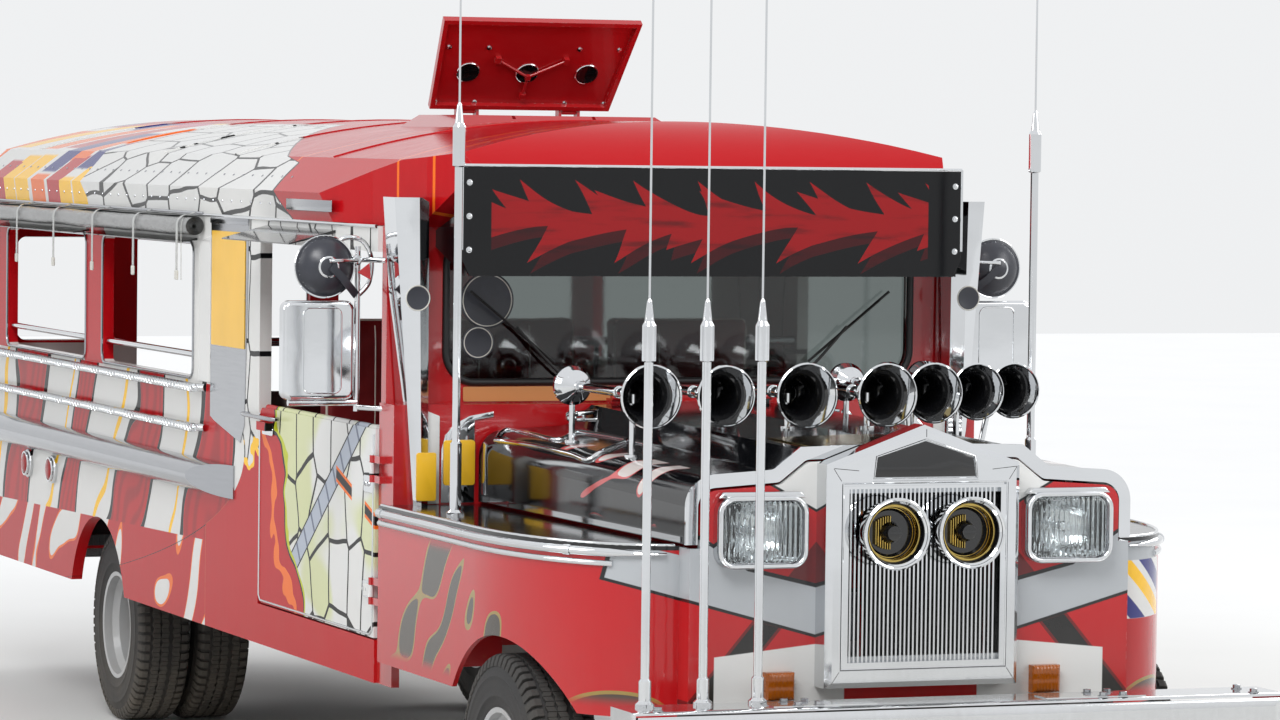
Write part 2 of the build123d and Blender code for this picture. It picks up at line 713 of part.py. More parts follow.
def grille_lamps():
    """Two open round lamps on the bars: rim, bowl and a small reflector cone inside."""
    lamps = []
    for side in (-1, 1):
        bowl = turned_y([(ROUND_R - 12, -160), (ROUND_R - 4, -168), (ROUND_R, -158), (ROUND_R - 4, -140),
                         (ROUND_R - 8, -110), (70, BAR_FRONT - TOUCH), (0, BAR_FRONT - TOUCH), (0, -96),
                         (62, -98), (ROUND_R - 16, -118), (ROUND_R - 14, -146)], side * ROUND_X, 0, ROUND_Z)
        cone = turned_y([(0, -96), (26, -96), (26, -112), (14, -140), (0, -142)],
                        side * ROUND_X, 0, ROUND_Z)
        lamps.append(bowl + cone)
    return lamps


# Cowl, screen and pillars
COWL_T = 20
COWL_SIDE = 25
SCREEN_T = 40
GLASS_T = 6
GLASS_LOW = 1396
GLASS_TOP = 1835
GLASS_HALF = SCREEN_HALF - 68
GLASS_R = 90


def cowl():
    """Firewall, deck and sides between the fenders and the doors."""
    inner = CAB_HALF - COWL_SIDE
    rear = DOOR_FRONT - SEAM
    panels = [block(-inner, inner, COWL_FRONT, COWL_FRONT + COWL_T, FRAME_TOP, COWL_TOP),
              block(-inner, inner, COWL_FRONT, rear, COWL_TOP - COWL_T, COWL_TOP)]
    for side in (-1, 1):
        panels.append(block(side * inner, side * CAB_HALF, COWL_FRONT, rear, SKIRT_BOTTOM, COWL_TOP))
    return joined(panels)


def glass_outline(y, inset):
    plane = Plane(origin=(0, y, (GLASS_LOW + GLASS_TOP) / 2), x_dir=(1, 0, 0), z_dir=(0, 1, 0))
    height = GLASS_TOP - GLASS_LOW
    return plane * RectangleRounded(2 * (GLASS_HALF - inset), height - 2 * inset, GLASS_R)


def windshield_frame():
    y0 = SCREEN_Y
    y1 = SCREEN_Y + SCREEN_T
    panel = front_shape([(-SCREEN_HALF, COWL_TOP), (SCREEN_HALF, COWL_TOP), (SCREEN_HALF + 20, GUTTER),
                         (-SCREEN_HALF - 20, GUTTER)], y0, y1)
    panel = panel - extrude(glass_outline(y0 - 5, 0), amount=SCREEN_T + 10)
    pillars = []
    for side in (-1, 1):
        x0 = side * (SCREEN_HALF + 22)
        x1 = side * (CAB_HALF - 5)
        pillars.append(block(x0, x1, y0 + 10, DOOR_FRONT - SEAM, COWL_TOP, GUTTER))
        pillars.append(block(side * (SCREEN_HALF - 10), x1, y0 + 10, y1, COWL_TOP, GUTTER))
    return joined([panel] + pillars)


def windshield_glass():
    y = SCREEN_Y + SCREEN_T / 2 - GLASS_T / 2
    return extrude(glass_outline(y, TOUCH), amount=GLASS_T)


VISOR_FRONT = 1462
VISOR_T = 12
VISOR_TOP = 2052
VISOR_LOW = 1722
VISOR_HALF = SCREEN_HALF - 18
VISOR_CLIP = 50


def sun_visor():
    """A board ahead of the screen's top, on a triangular gusset at each end."""
    right = [(VISOR_HALF - VISOR_CLIP / 2, VISOR_LOW), (VISOR_HALF, VISOR_LOW + VISOR_CLIP),
             (VISOR_HALF, VISOR_TOP)]
    outline = right + [(-x, z) for x, z in reversed(right)]
    board = front_shape(outline, VISOR_FRONT, VISOR_FRONT + VISOR_T)
    gusset = [(VISOR_FRONT + VISOR_T, GUTTER - 140), (SCREEN_Y, GUTTER - 60), (SCREEN_Y, GUTTER - 10),
              (VISOR_FRONT + VISOR_T, GUTTER + 60)]
    for side in (-1, 1):
        x = side * (VISOR_HALF - 14)
        board = board + side_shape(gusset, x - 2.5, x + 2.5)
    return board


WING_FRONT = 1600
WING_LIP = 1630
WING_OUT_TOP = SCREEN_HALF + 138
WING_OUT_LOW = SCREEN_HALF + 70
WING_REACH = 90


def pillar_wings():
    """Tall folded stainless covers ahead of the pillars, wider at the top."""
    wings = []
    low_z = FENDER_TOP
    high_z = GUTTER + WING_REACH
    inner = SCREEN_HALF + 24
    rear = SCREEN_Y
    for side in (-1, 1):
        low = make_face(Polyline((inner, rear, low_z), (inner, WING_LIP, low_z),
                                 (inner + 30, WING_FRONT, low_z), (WING_OUT_LOW, WING_LIP, low_z),
                                 (WING_OUT_LOW, rear, low_z), close=True))
        high = make_face(Polyline((inner + 5, rear, high_z), (inner + 5, WING_LIP, high_z),
                                  (inner + 45, WING_FRONT, high_z), (WING_OUT_TOP, WING_LIP, high_z),
                                  (WING_OUT_TOP, rear, high_z), close=True))
        wing = loft([low, high], ruled=True)
        wing = wing - block(0, 1200, COWL_FRONT, SCREEN_Y, 0, COWL_TOP)
        wings.append(wing if side > 0 else flip(wing))
    return wings


# Hood hinges on the cowl's deck
HINGE_X = 220
HINGE_R = 9
HINGE_PIN_R = 4
HINGE_LEAF = 46
HINGE_Y = HOOD_REAR + 8


def hood_hinges():
    """Fixed leaves and outer barrels, and the hood's own leaves and middle barrels."""
    fixed = []
    moving = []
    for x in (-HINGE_X, HINGE_X):
        for end in (-1, 1):
            a = x + end * 16
            b = x + end * 42
            fixed.append(disc_x(min(a, b), max(a, b), HINGE_Y, HOOD_HINGE_Z, HINGE_R))
            fixed.append(block(a, b, HINGE_Y, HINGE_Y + HINGE_LEAF, COWL_TOP, HOOD_HINGE_Z - 2))
        fixed.append(disc_x(x - 20, x + 20, HINGE_Y, HOOD_HINGE_Z, HINGE_PIN_R))
        middle = disc_x(x - 15, x + 15, HINGE_Y, HOOD_HINGE_Z, HINGE_R)
        level = HOOD_TOP_REAR - HOOD_T
        leaf = block(x - 15, x + 15, HOOD_REAR - HINGE_LEAF, HINGE_Y, level, HOOD_HINGE_Z - 3)
        moving.append(middle + leaf - disc_x(x - 16, x + 16, HINGE_Y, HOOD_HINGE_Z, HINGE_PIN_R + RUN))
    return fixed, moving


# Floor, side walls, rear wall
FLOOR_FRONT = COWL_FRONT + COWL_T
WELL_IN = TWIN_INNER - TYRE_W / 2 - 18
WELL_R = 420
BENCH_TOP = 1040
BENCH_T = 18
RISER_X = WELL_IN - 16


def floor():
    inner = BODY_HALF - BODY_WALL
    slab = block(-inner, inner, FLOOR_FRONT, BODY_REAR - BODY_WALL, FRAME_TOP,
                 FLOOR_TOP)
    for side in (-1, 1):
        slab = slab - block(side * WELL_IN, side * BODY_HALF, AXLE_REAR - WELL_R, AXLE_REAR + WELL_R,
                            FRAME_TOP - 1, FLOOR_TOP + 1)
    return slab


WINDOW_STARTS = (WINDOW_FRONT, WINDOW_FRONT + WINDOW_LENGTH + WINDOW_POST)


def side_wall(side):
    """Sill, rear quarter and cant rail in one wall, with its windows and wheel arch cut."""
    outline = [(DOOR_FRONT - SEAM, SKIRT_BOTTOM), (BODY_REAR - BODY_WALL, SKIRT_BOTTOM),
               (BODY_REAR - BODY_WALL, GUTTER), (DOOR_FRONT - SEAM, GUTTER),
               (DOOR_FRONT - SEAM, WINDOW_TOP + 25),
               (DOOR_REAR + SEAM, WINDOW_TOP + 25), (DOOR_REAR + SEAM, FLOOR_TOP - 30),
               (DOOR_FRONT - SEAM, FLOOR_TOP - 30)]
    wall = side_shape(outline, BODY_HALF - BODY_WALL, BODY_HALF)
    x0 = BODY_HALF - 2 * BODY_WALL
    x1 = BODY_HALF + BODY_WALL
    for y in WINDOW_STARTS:
        window = block(x0, x1, y, y + WINDOW_LENGTH, SILL_TOP, WINDOW_TOP)
        wall = wall - fillet(window.edges().filter_by(Axis.X), 28)
    arch = ARCH_R + 10
    wall = wall - disc_x(x0, x1, AXLE_REAR, TYRE_R, arch)
    wall = wall - block(x0, x1, AXLE_REAR - arch, AXLE_REAR + arch, 0, TYRE_R)
    return wall if side > 0 else flip(wall)


DOORWAY_HALF = 360
DOORWAY_TOP = 1790
REAR_WINDOW = (480, 850)


def rear_wall():
    y0 = BODY_REAR - BODY_WALL
    wall = block(-BODY_HALF, BODY_HALF, y0, BODY_REAR, SKIRT_BOTTOM, GUTTER)
    way = block(-DOORWAY_HALF, DOORWAY_HALF, y0 - 5, BODY_REAR + 5, FLOOR_TOP, DOORWAY_TOP)
    wall = wall - fillet(way.edges().filter_by(Axis.Y).group_by(Axis.Z)[-1], 90)
    for side in (-1, 1):
        window = block(side * REAR_WINDOW[0], side * REAR_WINDOW[1], y0 - 5, BODY_REAR + 5,
                       SILL_TOP, WINDOW_TOP - 40)
        wall = wall - fillet(window.edges().filter_by(Axis.Y), 40)
    return wall


# Roof: one arched section, rounded down at the front and drawn in at the front corners
ROOF_FRONT = 1500
ROOF_REAR = 6850
ROOF_LIP = 2050
ROOF_T = 22
CREASE_HALF = BODY_HALF + 25
EAVE_HALF = BODY_HALF + 3
ROOF_SHOULDER_X = BODY_HALF - 95
ROOF_SHOULDER_Z = 2064
ROOF_CORNER_HALF = BODY_HALF - 220


def roof_section(inset, y):
    base = GUTTER - (inset > 0) * 10
    eave = (EAVE_HALF - inset, base)
    crease = (CREASE_HALF - inset, CREASE)
    shoulder = (ROOF_SHOULDER_X - inset * 0.6, ROOF_SHOULDER_Z - inset)
    line = Polyline((-shoulder[0], y, shoulder[1]), (-crease[0], y, crease[1]), (-eave[0], y, eave[1]),
                    (eave[0], y, eave[1]), (crease[0], y, crease[1]), (shoulder[0], y, shoulder[1]))
    arc = ThreePointArc((shoulder[0], y, shoulder[1]), (0, y, CROWN - inset), (-shoulder[0], y, shoulder[1]))
    return make_face([line, arc])


def roof_block(inset):
    """The arched section carried along, trimmed in side view and in plan."""
    length = ROOF_REAR - ROOF_FRONT + 100
    body = extrude(roof_section(inset, ROOF_FRONT - 50), amount=length, dir=(0, 1, 0))
    front = ROOF_FRONT + 2 * inset
    rear = ROOF_REAR if inset == 0 else BODY_REAR - 20
    low = GUTTER - 20
    x = -CREASE_HALF - 50
    top = CROWN + 1 - inset
    nose = ThreePointArc((x, front, ROOF_LIP + 0.4 * inset),
                         (x, ROOF_FRONT + 130 + 0.7 * inset, ROOF_LIP + 88 - inset),
                         (x, ROOF_FRONT + 520, top))
    line = Polyline((x, ROOF_FRONT + 520, top), (x, rear, top), (x, rear, low),
                    (x, SCREEN_Y + inset, low), (x, SCREEN_Y + inset, GUTTER + 0.6 * inset),
                    (x, front, ROOF_LIP - 20 + 0.4 * inset), (x, front, ROOF_LIP + 0.4 * inset))
    body = body & extrude(make_face([nose, line]), amount=2 * CREASE_HALF + 100, dir=(1, 0, 0))
    corner = ROOF_CORNER_HALF - inset
    flare = CREASE_HALF + 10 - inset
    right = [(corner, front - 60), (corner + 95, front + 210), (corner + 165, front + 520),
             (flare, front + 850), (flare, rear + 60)]
    plan = right + [(-across, y) for across, y in reversed(right)]
    return body & plan_shape(plan, low - 10, CROWN + 20)


HATCH_HALF = 318
HATCH_FRONT = 2885
HATCH_LENGTH = 370
COAMING_H = 16
COAMING_FLARE = 180


def hatch_hole():
    inner = HATCH_HALF - 30
    return block(-inner, inner, HATCH_FRONT + 30, HATCH_FRONT + HATCH_LENGTH - 40, GUTTER, CROWN + 200)


def roof():
    return roof_block(0) - roof_block(ROOF_T) - hatch_hole()


COAMING_TOP = CROWN + COAMING_H


def roof_coaming():
    """A raised platform round the hatch, flared down to the roof, with two cuts in its front rim."""
    middle = HATCH_FRONT + HATCH_LENGTH / 2 + 10
    width = 2 * HATCH_HALF + 30
    length = HATCH_LENGTH + 90
    flare = 2 * COAMING_FLARE
    low = Pos(0, middle, ROOF_SHOULDER_Z) * Rectangle(width + flare, length + flare)
    top = Pos(0, middle, COAMING_TOP) * Rectangle(width, length)
    pod = loft([low, top], ruled=True)
    pod = pod - roof_block(0) - hatch_hole()
    for x in (-164, 115):
        pod = pod - block(x - 6, x + 6, HATCH_FRONT - 100, HATCH_FRONT + 10, COAMING_TOP - 12,
                          COAMING_TOP + 10)
    return pod


# Hatch lid, drawn closed and turned up to where it stands
LID_T = 22
LID_REAR = HATCH_FRONT + HATCH_LENGTH
LID_GAP = 6
LID_OPEN = 51
LID_PIN = (LID_REAR + 6, COAMING_TOP + 14)
LID_WALL = 4
LID_PIN_R = 3


def roof_hatch():
    """A shallow pan that opens about its rear edge, with a forked stay and two catches inside."""
    low = COAMING_TOP + LID_GAP
    outline = [(-HATCH_HALF - 30, HATCH_FRONT - 10), (HATCH_HALF + 30, HATCH_FRONT - 10),
               (HATCH_HALF, LID_REAR - 8), (-HATCH_HALF, LID_REAR - 8)]
    lid = plan_shape(outline, low, low + LID_T)
    pan = [(-HATCH_HALF - 14, HATCH_FRONT + 6), (HATCH_HALF + 14, HATCH_FRONT + 6),
           (HATCH_HALF - 16, LID_REAR - 24), (-HATCH_HALF + 16, LID_REAR - 24)]
    lid = lid - plan_shape(pan, low - 1, low + LID_T - LID_WALL)
    under = low + LID_T - LID_WALL
    middle = HATCH_FRONT + HATCH_LENGTH * 0.62
    stay_z = under - 7
    stay = rod((0, LID_REAR - 60, stay_z), (0, middle, stay_z), 5)
    for side in (-1, 1):
        stay = stay + rod((0, middle, stay_z), (side * 120, middle - 70, stay_z), 5)
        stay = stay + block(side * 120 - 9, side * 120 + 9, middle - 82, middle - 60, stay_z - 8, under + 1)
    stay = stay + block(-9, 9, middle - 9, middle + 9, stay_z - 8, stay_z + 6)
    stay = stay + block(-10, 10, LID_REAR - 70, LID_REAR - 50, stay_z - 8, under + 1)
    lid = lid + stay
    for side in (-1, 1):
        x = side * 180
        barrel = rod((x - 25, LID_PIN[0], LID_PIN[1]), (x + 25, LID_PIN[0], LID_PIN[1]), 7)
        lid = lid + barrel + block(x - 25, x + 25, LID_REAR - 14, LID_PIN[0], low + 3, LID_PIN[1] + 4)
        lid = lid - disc_x(x - 26, x + 26, LID_PIN[0], LID_PIN[1], LID_PIN_R + RUN)
    axis = Axis((0, LID_PIN[0], LID_PIN[1]), (1, 0, 0))
    return lid.rotate(axis, -LID_OPEN)


def hatch_hinge_ears():
    ears = []
    for side in (-1, 1):
        for end in (-1, 1):
            x = side * 180 + end * 33
            ear = block(x - 5, x + 5, LID_PIN[0] - 8, LID_PIN[0] + 26, COAMING_TOP, LID_PIN[1] + 7)
            ears.append(ear)
        ears.append(disc_x(side * 180 - 36, side * 180 + 36, LID_PIN[0], LID_PIN[1], LID_PIN_R))
    return ears


# Half doors
DOOR_TOP = 1250
DOOR_LOW = FLOOR_TOP - 24
DOOR_T = 36
DOOR_PIN_X = BODY_HALF + 11
DOOR_PIN_Y = DOOR_FRONT - 3
DOOR_PIN_R = 8
DOOR_BARRELS = (760, 1130)
BARREL_H = 36
LUG_H = 22


def door(side):
    """A half door with rounded rear corners, a top rail, a handle and its hinge leaves."""
    panel = block(BODY_HALF - DOOR_T, BODY_HALF, DOOR_FRONT, DOOR_REAR, DOOR_LOW, DOOR_TOP)
    panel = fillet(panel.edges().filter_by(Axis.X).group_by(Axis.Y)[-1], 40)
    rail_x = BODY_HALF - DOOR_T / 2
    panel = panel + rod((rail_x, DOOR_FRONT + 20, DOOR_TOP), (rail_x, DOOR_REAR - 45, DOOR_TOP), 11)
    handle = block(BODY_HALF, BODY_HALF + 26, DOOR_REAR - 150, DOOR_REAR - 50, 1180, 1208)
    panel = panel + (handle - block(BODY_HALF, BODY_HALF + 14, DOOR_REAR - 132, DOOR_REAR - 68, 1170, 1215))
    for z in DOOR_BARRELS:
        low = z - BARREL_H / 2
        high = z + BARREL_H / 2
        panel = panel + rod((DOOR_PIN_X, DOOR_PIN_Y, low), (DOOR_PIN_X, DOOR_PIN_Y, high), DOOR_PIN_R)
        panel = panel + block(BODY_HALF - 1, DOOR_PIN_X, DOOR_PIN_Y + 3, DOOR_FRONT + 70, low, high)
        panel = panel - rod((DOOR_PIN_X, DOOR_PIN_Y, low), (DOOR_PIN_X, DOOR_PIN_Y, high), HINGE_PIN_R + RUN)
    return panel if side > 0 else flip(panel)


def door_hinge_lugs(side):
    """Fixed barrels above and below each of the door's, on straps from the cowl's side."""
    lugs = []
    for z in DOOR_BARRELS:
        pin = rod((DOOR_PIN_X, DOOR_PIN_Y, z - BARREL_H), (DOOR_PIN_X, DOOR_PIN_Y, z + BARREL_H), HINGE_PIN_R)
        lugs.append(pin if side > 0 else flip(pin))
        for low in (z - BARREL_H / 2 - 1 - LUG_H, z + BARREL_H / 2 + 1):
            lug = rod((DOOR_PIN_X, DOOR_PIN_Y, low), (DOOR_PIN_X, DOOR_PIN_Y, low + LUG_H), DOOR_PIN_R)
            lug = lug + block(CAB_HALF, DOOR_PIN_X, DOOR_FRONT - 75, DOOR_PIN_Y - 6, low, low + LUG_H)
            lugs.append(lug if side > 0 else flip(lug))
    return lugs


# Inside the cab
DASH_REAR = 1900
DASH_LOW = 1110
DASH_TOP = 1300
COLUMN_X = 420
COLUMN_FOOT = (COLUMN_X, 1720, 1000)
WHEEL_CENTRE = (COLUMN_X, 2170, 1230)
COLUMN_AXIS = (Vector(*WHEEL_CENTRE) - Vector(*COLUMN_FOOT)).normalized()
COLUMN_R = 24
GRIP_CENTRE_R = 200
GRIP_R = 13
HUB_R = 34
HUB_BACK = 40
HUB_GAP = 2
SHAFT_END_R = 11


def dashboard():
    """A board across the cab with an instrument hump, and the steering column under it."""
    front = COWL_FRONT + COWL_T
    half = BODY_HALF - DOOR_T - 12
    board = side_shape([(front, DASH_LOW), (DASH_REAR - 60, DASH_LOW), (DASH_REAR, DASH_LOW + 60),
                        (DASH_REAR - 20, DASH_TOP - 20), (DASH_REAR - 60, DASH_TOP), (front, DASH_TOP)],
                       -half, half)
    hump = side_shape([(DASH_REAR - 96, DASH_TOP), (DASH_REAR - 30, DASH_TOP - 10),
                       (DASH_REAR - 35, DASH_TOP + 50), (DASH_REAR - 84, DASH_TOP + 62)],
                      COLUMN_X - 170, COLUMN_X + 170)
    start = Vector(*COLUMN_FOOT) - COLUMN_AXIS * 60
    end = Vector(*WHEEL_CENTRE) - COLUMN_AXIS * (HUB_BACK + HUB_GAP)
    tube = rod(tuple(start), tuple(end), COLUMN_R)
    tube = tube + rod(tuple(start), tuple(end + COLUMN_AXIS * 24), SHAFT_END_R)
    tube = tube - block(0, half, front - 300, front, 0, COWL_TOP)
    stay = block(COLUMN_X - 12, COLUMN_X + 12, DASH_REAR - 50, DASH_REAR - 20, 1075, DASH_LOW + 60)
    return board + hump + tube + stay


def steering_wheel():
    """Grip, three spokes and a hub, square to the column."""
    plane = Plane(origin=WHEEL_CENTRE, x_dir=(1, 0, 0), z_dir=COLUMN_AXIS)
    wheel = plane * Torus(GRIP_CENTRE_R, GRIP_R)
    wheel = wheel + plane * Pos(0, 0, (4 - HUB_BACK) / 2) * Cylinder(HUB_R, HUB_BACK + 4)
    for angle in (0, 180, 270):
        spoke = Pos(GRIP_CENTRE_R / 2, 0, -6) * Box(GRIP_CENTRE_R, 26, 8)
        wheel = wheel + plane * Rot(0, 0, angle) * spoke
    return wheel - plane * Pos(0, 0, -HUB_BACK) * Cylinder(SHAFT_END_R + RUN, 48)


# Seats: the cab's two by x range, and a bench along each wall behind
SEATS = ((COLUMN_X - 250, COLUMN_X + 250), (-820, 60))
SEAT_FRONT = 2400
SEAT_REAR = 2800
SEAT_TOP = 930
CUSHION_T = 110
BACK_TOP = 1560
SOFT_EDGE = 26
BENCH_FRONT = 3100
BENCH_REAR = 6700
BENCH_CUSHION_T = 80
BENCH_BACK = (1150, 1296)
BENCH_BACK_T = 52


def seat_frames():
    """Box bases under the cab's seats, and a board on a riser along each wall over the wheels."""
    pieces = []
    for x0, x1 in SEATS:
        box = block(x0 + 20, x1 - 20, SEAT_FRONT + 20, SEAT_REAR + 80, FLOOR_TOP, SEAT_TOP)
        inside = block(x0 + 34, x1 - 34, SEAT_FRONT + 34, SEAT_REAR + 66, FLOOR_TOP, SEAT_TOP - 14)
        pieces.append(box - inside)
    for side in (-1, 1):
        board = block(side * RISER_X, side * (BODY_HALF - BODY_WALL), BENCH_FRONT, BENCH_REAR,
                      BENCH_TOP - BENCH_T, BENCH_TOP)
        pieces.append(board + block(side * RISER_X, side * WELL_IN, BENCH_FRONT, BENCH_REAR,
                                    FLOOR_TOP, BENCH_TOP - BENCH_T))
    return pieces


def cushions():
    pieces = []
    for x0, x1 in SEATS:
        pieces.append(block(x0, x1, SEAT_FRONT, SEAT_REAR, SEAT_TOP, SEAT_TOP + CUSHION_T))
        pieces.append(block(x0, x1, SEAT_REAR + TOUCH, SEAT_REAR + CUSHION_T, SEAT_TOP, BACK_TOP))
    wall = BODY_HALF - BODY_WALL
    for side in (-1, 1):
        pieces.append(block(side * (RISER_X - 6), side * (wall - BENCH_BACK_T - 4), BENCH_FRONT + 5,
                            BENCH_REAR - 5, BENCH_TOP, BENCH_TOP + BENCH_CUSHION_T))
        pieces.append(block(side * (wall - BENCH_BACK_T), side * wall, BENCH_FRONT + 5, BENCH_REAR - 5,
                            BENCH_BACK[0], BENCH_BACK[1]))
    return [fillet(piece.edges(), SOFT_EDGE - 6) for piece in pieces]


PARTITION_Y = 3040
PARTITION_T = 20
PARTITION_TOP = 1300
PARTITION_RAIL = 1460


def partition():
    """A low wall behind the cab's seats with a rail above it."""
    half = BODY_HALF - BODY_WALL
    middle = PARTITION_Y + PARTITION_T / 2
    wall = block(-half, half, PARTITION_Y, PARTITION_Y + PARTITION_T, FLOOR_TOP, PARTITION_TOP)
    wall = wall + disc_x(-half, half, middle, PARTITION_RAIL, 14)
    for x in (-620, -210, 210, 620):
        wall = wall + rod((x, middle, PARTITION_TOP - 10), (x, middle, PARTITION_RAIL), 9)
    return wall


# On the side walls
ROLL_R = 36
ROLL_Z = GUTTER - ROLL_R - 2
ROLL_FRONT = WINDOW_FRONT - 130
ROLL_REAR = BODY_REAR - 140
ROLL_X = BODY_HALF + ROLL_R
BLADE_OUT = 60
BLADE_T = 3
BLADE_Z = ROLL_Z - ROLL_R - 6
SHADE_OUT = 150


def rain_rolls():
    return [rod((side * ROLL_X, ROLL_FRONT, ROLL_Z), (side * ROLL_X, ROLL_REAR, ROLL_Z), ROLL_R)
            for side in (-1, 1)]


def drip_blades():
    """A thin blade over each window, and a deeper flat one over each door opening."""
    pieces = []
    out = BODY_HALF + BLADE_OUT
    deep = BODY_HALF + SHADE_OUT
    for side in (-1, 1):
        for y in WINDOW_STARTS:
            blade = front_shape([(BODY_HALF, BLADE_Z), (out, BLADE_Z - 12), (out, BLADE_Z - 12 - BLADE_T),
                                 (BODY_HALF, BLADE_Z - 8)], y - 40, y + WINDOW_LENGTH + 40)
            pieces.append(blade if side > 0 else flip(blade))
        shade = front_shape([(BODY_HALF, GUTTER - 20), (deep, GUTTER - 62), (deep, GUTTER - 66),
                             (BODY_HALF, GUTTER - 30)], DOOR_FRONT + 420, DOOR_REAR - 60)
        pieces.append(shade if side > 0 else flip(shade))
    return pieces


RAIL_LINES = (1280, 1145)
SIDE_RAIL_R = 13
SIDE_RAIL_X = BODY_HALF + 34
SIDE_RAIL_FRONT = 3655
SIDE_RAIL_REAR = BODY_REAR - 120
RAIL_POSTS = (4300, 5300, 6150)
BAR_X = BODY_HALF - BODY_WALL / 2
BAR_Z = 1384
GRAB_X = 400
GRAB_OUT = 60
GRAB_LOW = 900
GRAB_TOP = 1600


def side_rails():
    """Two rails on each wall, a bar across each window, and a grab rail each side of the doorway."""
    pieces = []
    for side in (-1, 1):
        for z in RAIL_LINES:
            rail = bent_rod([(BODY_HALF, SIDE_RAIL_FRONT, z), (SIDE_RAIL_X, SIDE_RAIL_FRONT + 60, z),
                             (SIDE_RAIL_X, SIDE_RAIL_REAR - 60, z), (BODY_HALF, SIDE_RAIL_REAR, z)],
                            SIDE_RAIL_R, 40)
            rail = rail - block(0, BODY_HALF, SIDE_RAIL_FRONT - 100, SIDE_RAIL_REAR + 100, z - 50, z + 50)
            for y in RAIL_POSTS:
                rail = rail + rod((BODY_HALF, y, z), (SIDE_RAIL_X, y, z), 8)
            pieces.append(rail if side > 0 else flip(rail))
        for y in WINDOW_STARTS:
            pieces.append(rod((side * BAR_X, y, BAR_Z), (side * BAR_X, y + WINDOW_LENGTH, BAR_Z), 11))
        x = side * GRAB_X
        pieces.append(bent_rod([(x, BODY_REAR, GRAB_LOW), (x, BODY_REAR + GRAB_OUT, GRAB_LOW),
                                (x, BODY_REAR + GRAB_OUT, GRAB_TOP), (x, BODY_REAR, GRAB_TOP)], 12, 30))
    return pieces


RUB_FRONT = 3300
RUB_TAPER = 380
RUB_Z = 985
RUB_H = 110
RUB_OUT = 62


def rub_rails():
    """A deep half-round rail along each wall, tapered in towards its front end."""
    pieces = []
    low = RUB_Z - RUB_H / 2
    high = RUB_Z + RUB_H / 2
    out = BODY_HALF + RUB_OUT
    for side in (-1, 1):
        bulge = ThreePointArc((BODY_HALF, RUB_FRONT, low), (out, RUB_FRONT, RUB_Z),
                              (BODY_HALF, RUB_FRONT, high))
        base = Line((BODY_HALF, RUB_FRONT, high), (BODY_HALF, RUB_FRONT, low))
        rail = extrude(make_face([bulge, base]), amount=BODY_REAR - BODY_WALL - RUB_FRONT, dir=(0, 1, 0))
        rail = rail - plan_shape([(BODY_HALF + 4, RUB_FRONT - 10), (out + 50, RUB_FRONT - 10),
                                  (out + 50, RUB_FRONT + RUB_TAPER), (out, RUB_FRONT + RUB_TAPER)],
                                 low - 10, high + 10)
        pieces.append(rail if side > 0 else flip(rail))
    return pieces


# Mirrors on a tall stem beside each pillar
STEM_X = BODY_HALF + 39
STEM_Y = 1872
STEM_R = 9
STEM_LOW = 1300
STEM_TOP = 1800
MIRROR_IN = STEM_X + 12
MIRROR_W = 225
MIRROR_H = 300
MIRROR_Z = 1485
DISH_X = STEM_X + 106
DISH_Z = 1738
DISH_R = 84
DISH_REAR = STEM_Y - 2


def mirrors():
    """Stem with its brackets, the tall rectangular head and the round dished one over it."""
    pieces = []
    for side in (-1, 1):
        stem = rod((STEM_X, STEM_Y, STEM_LOW), (STEM_X, STEM_Y, STEM_TOP), STEM_R)
        for z in (STEM_LOW + 12, STEM_TOP - 40):
            stem = stem + rod((CAB_HALF - 10, DOOR_FRONT - 30, z), (STEM_X, STEM_Y, z), 8)
        stem = stem - block(0, CAB_HALF, 1600, 1800, 1200, COWL_TOP)
        stem = stem - block(0, CAB_HALF - 5, 1600, 1800, COWL_TOP, 1900)
        foot_z = MIRROR_Z - MIRROR_H / 2 - 8
        stem = stem + rod((STEM_X, STEM_Y, foot_z), (MIRROR_IN + MIRROR_W - 20, STEM_Y, foot_z), 10)
        stem = stem + rod((STEM_X, STEM_Y, DISH_Z), (DISH_X, STEM_Y, DISH_Z), 7)
        head = block(MIRROR_IN, MIRROR_IN + MIRROR_W, STEM_Y - 20, STEM_Y + 26,
                     MIRROR_Z - MIRROR_H / 2, MIRROR_Z + MIRROR_H / 2)
        head = fillet(head.edges().filter_by(Axis.Y), 26)
        head = fillet(head.faces().sort_by(Axis.Y)[0].edges(), 14)
        tab = block(STEM_X, MIRROR_IN + 4, STEM_Y - 6, STEM_Y + 6, MIRROR_Z - 80, MIRROR_Z + 80)
        dish = turned_y([(0, -54), (30, -50), (DISH_R * 0.8, -28), (DISH_R, -8), (DISH_R, 0), (0, 0)],
                        DISH_X, DISH_REAR, DISH_Z)
        frame = stem + head + tab + dish
        pieces.append(frame if side > 0 else flip(frame))
    return pieces


# Aerials: x, y, foot, collar's top, coil's bottom, coil's top
AERIALS = (
    (-875, -250, BUMPER_TOP, 700, 1549, 1654),
    (-710, -250, BUMPER_TOP, 700, 1549, 1654),
    (-552, -250, BUMPER_TOP, 700, 1549, 1654),
    (-900, 1240, FENDER_TOP, 1240, 2050, 2175),
    (900, 1130, FENDER_TOP, 1240, 2050, 2175),
)
WHIP_TIP = 2950
MAST_R = 12
COIL_R = 19
WHIP_R = 3


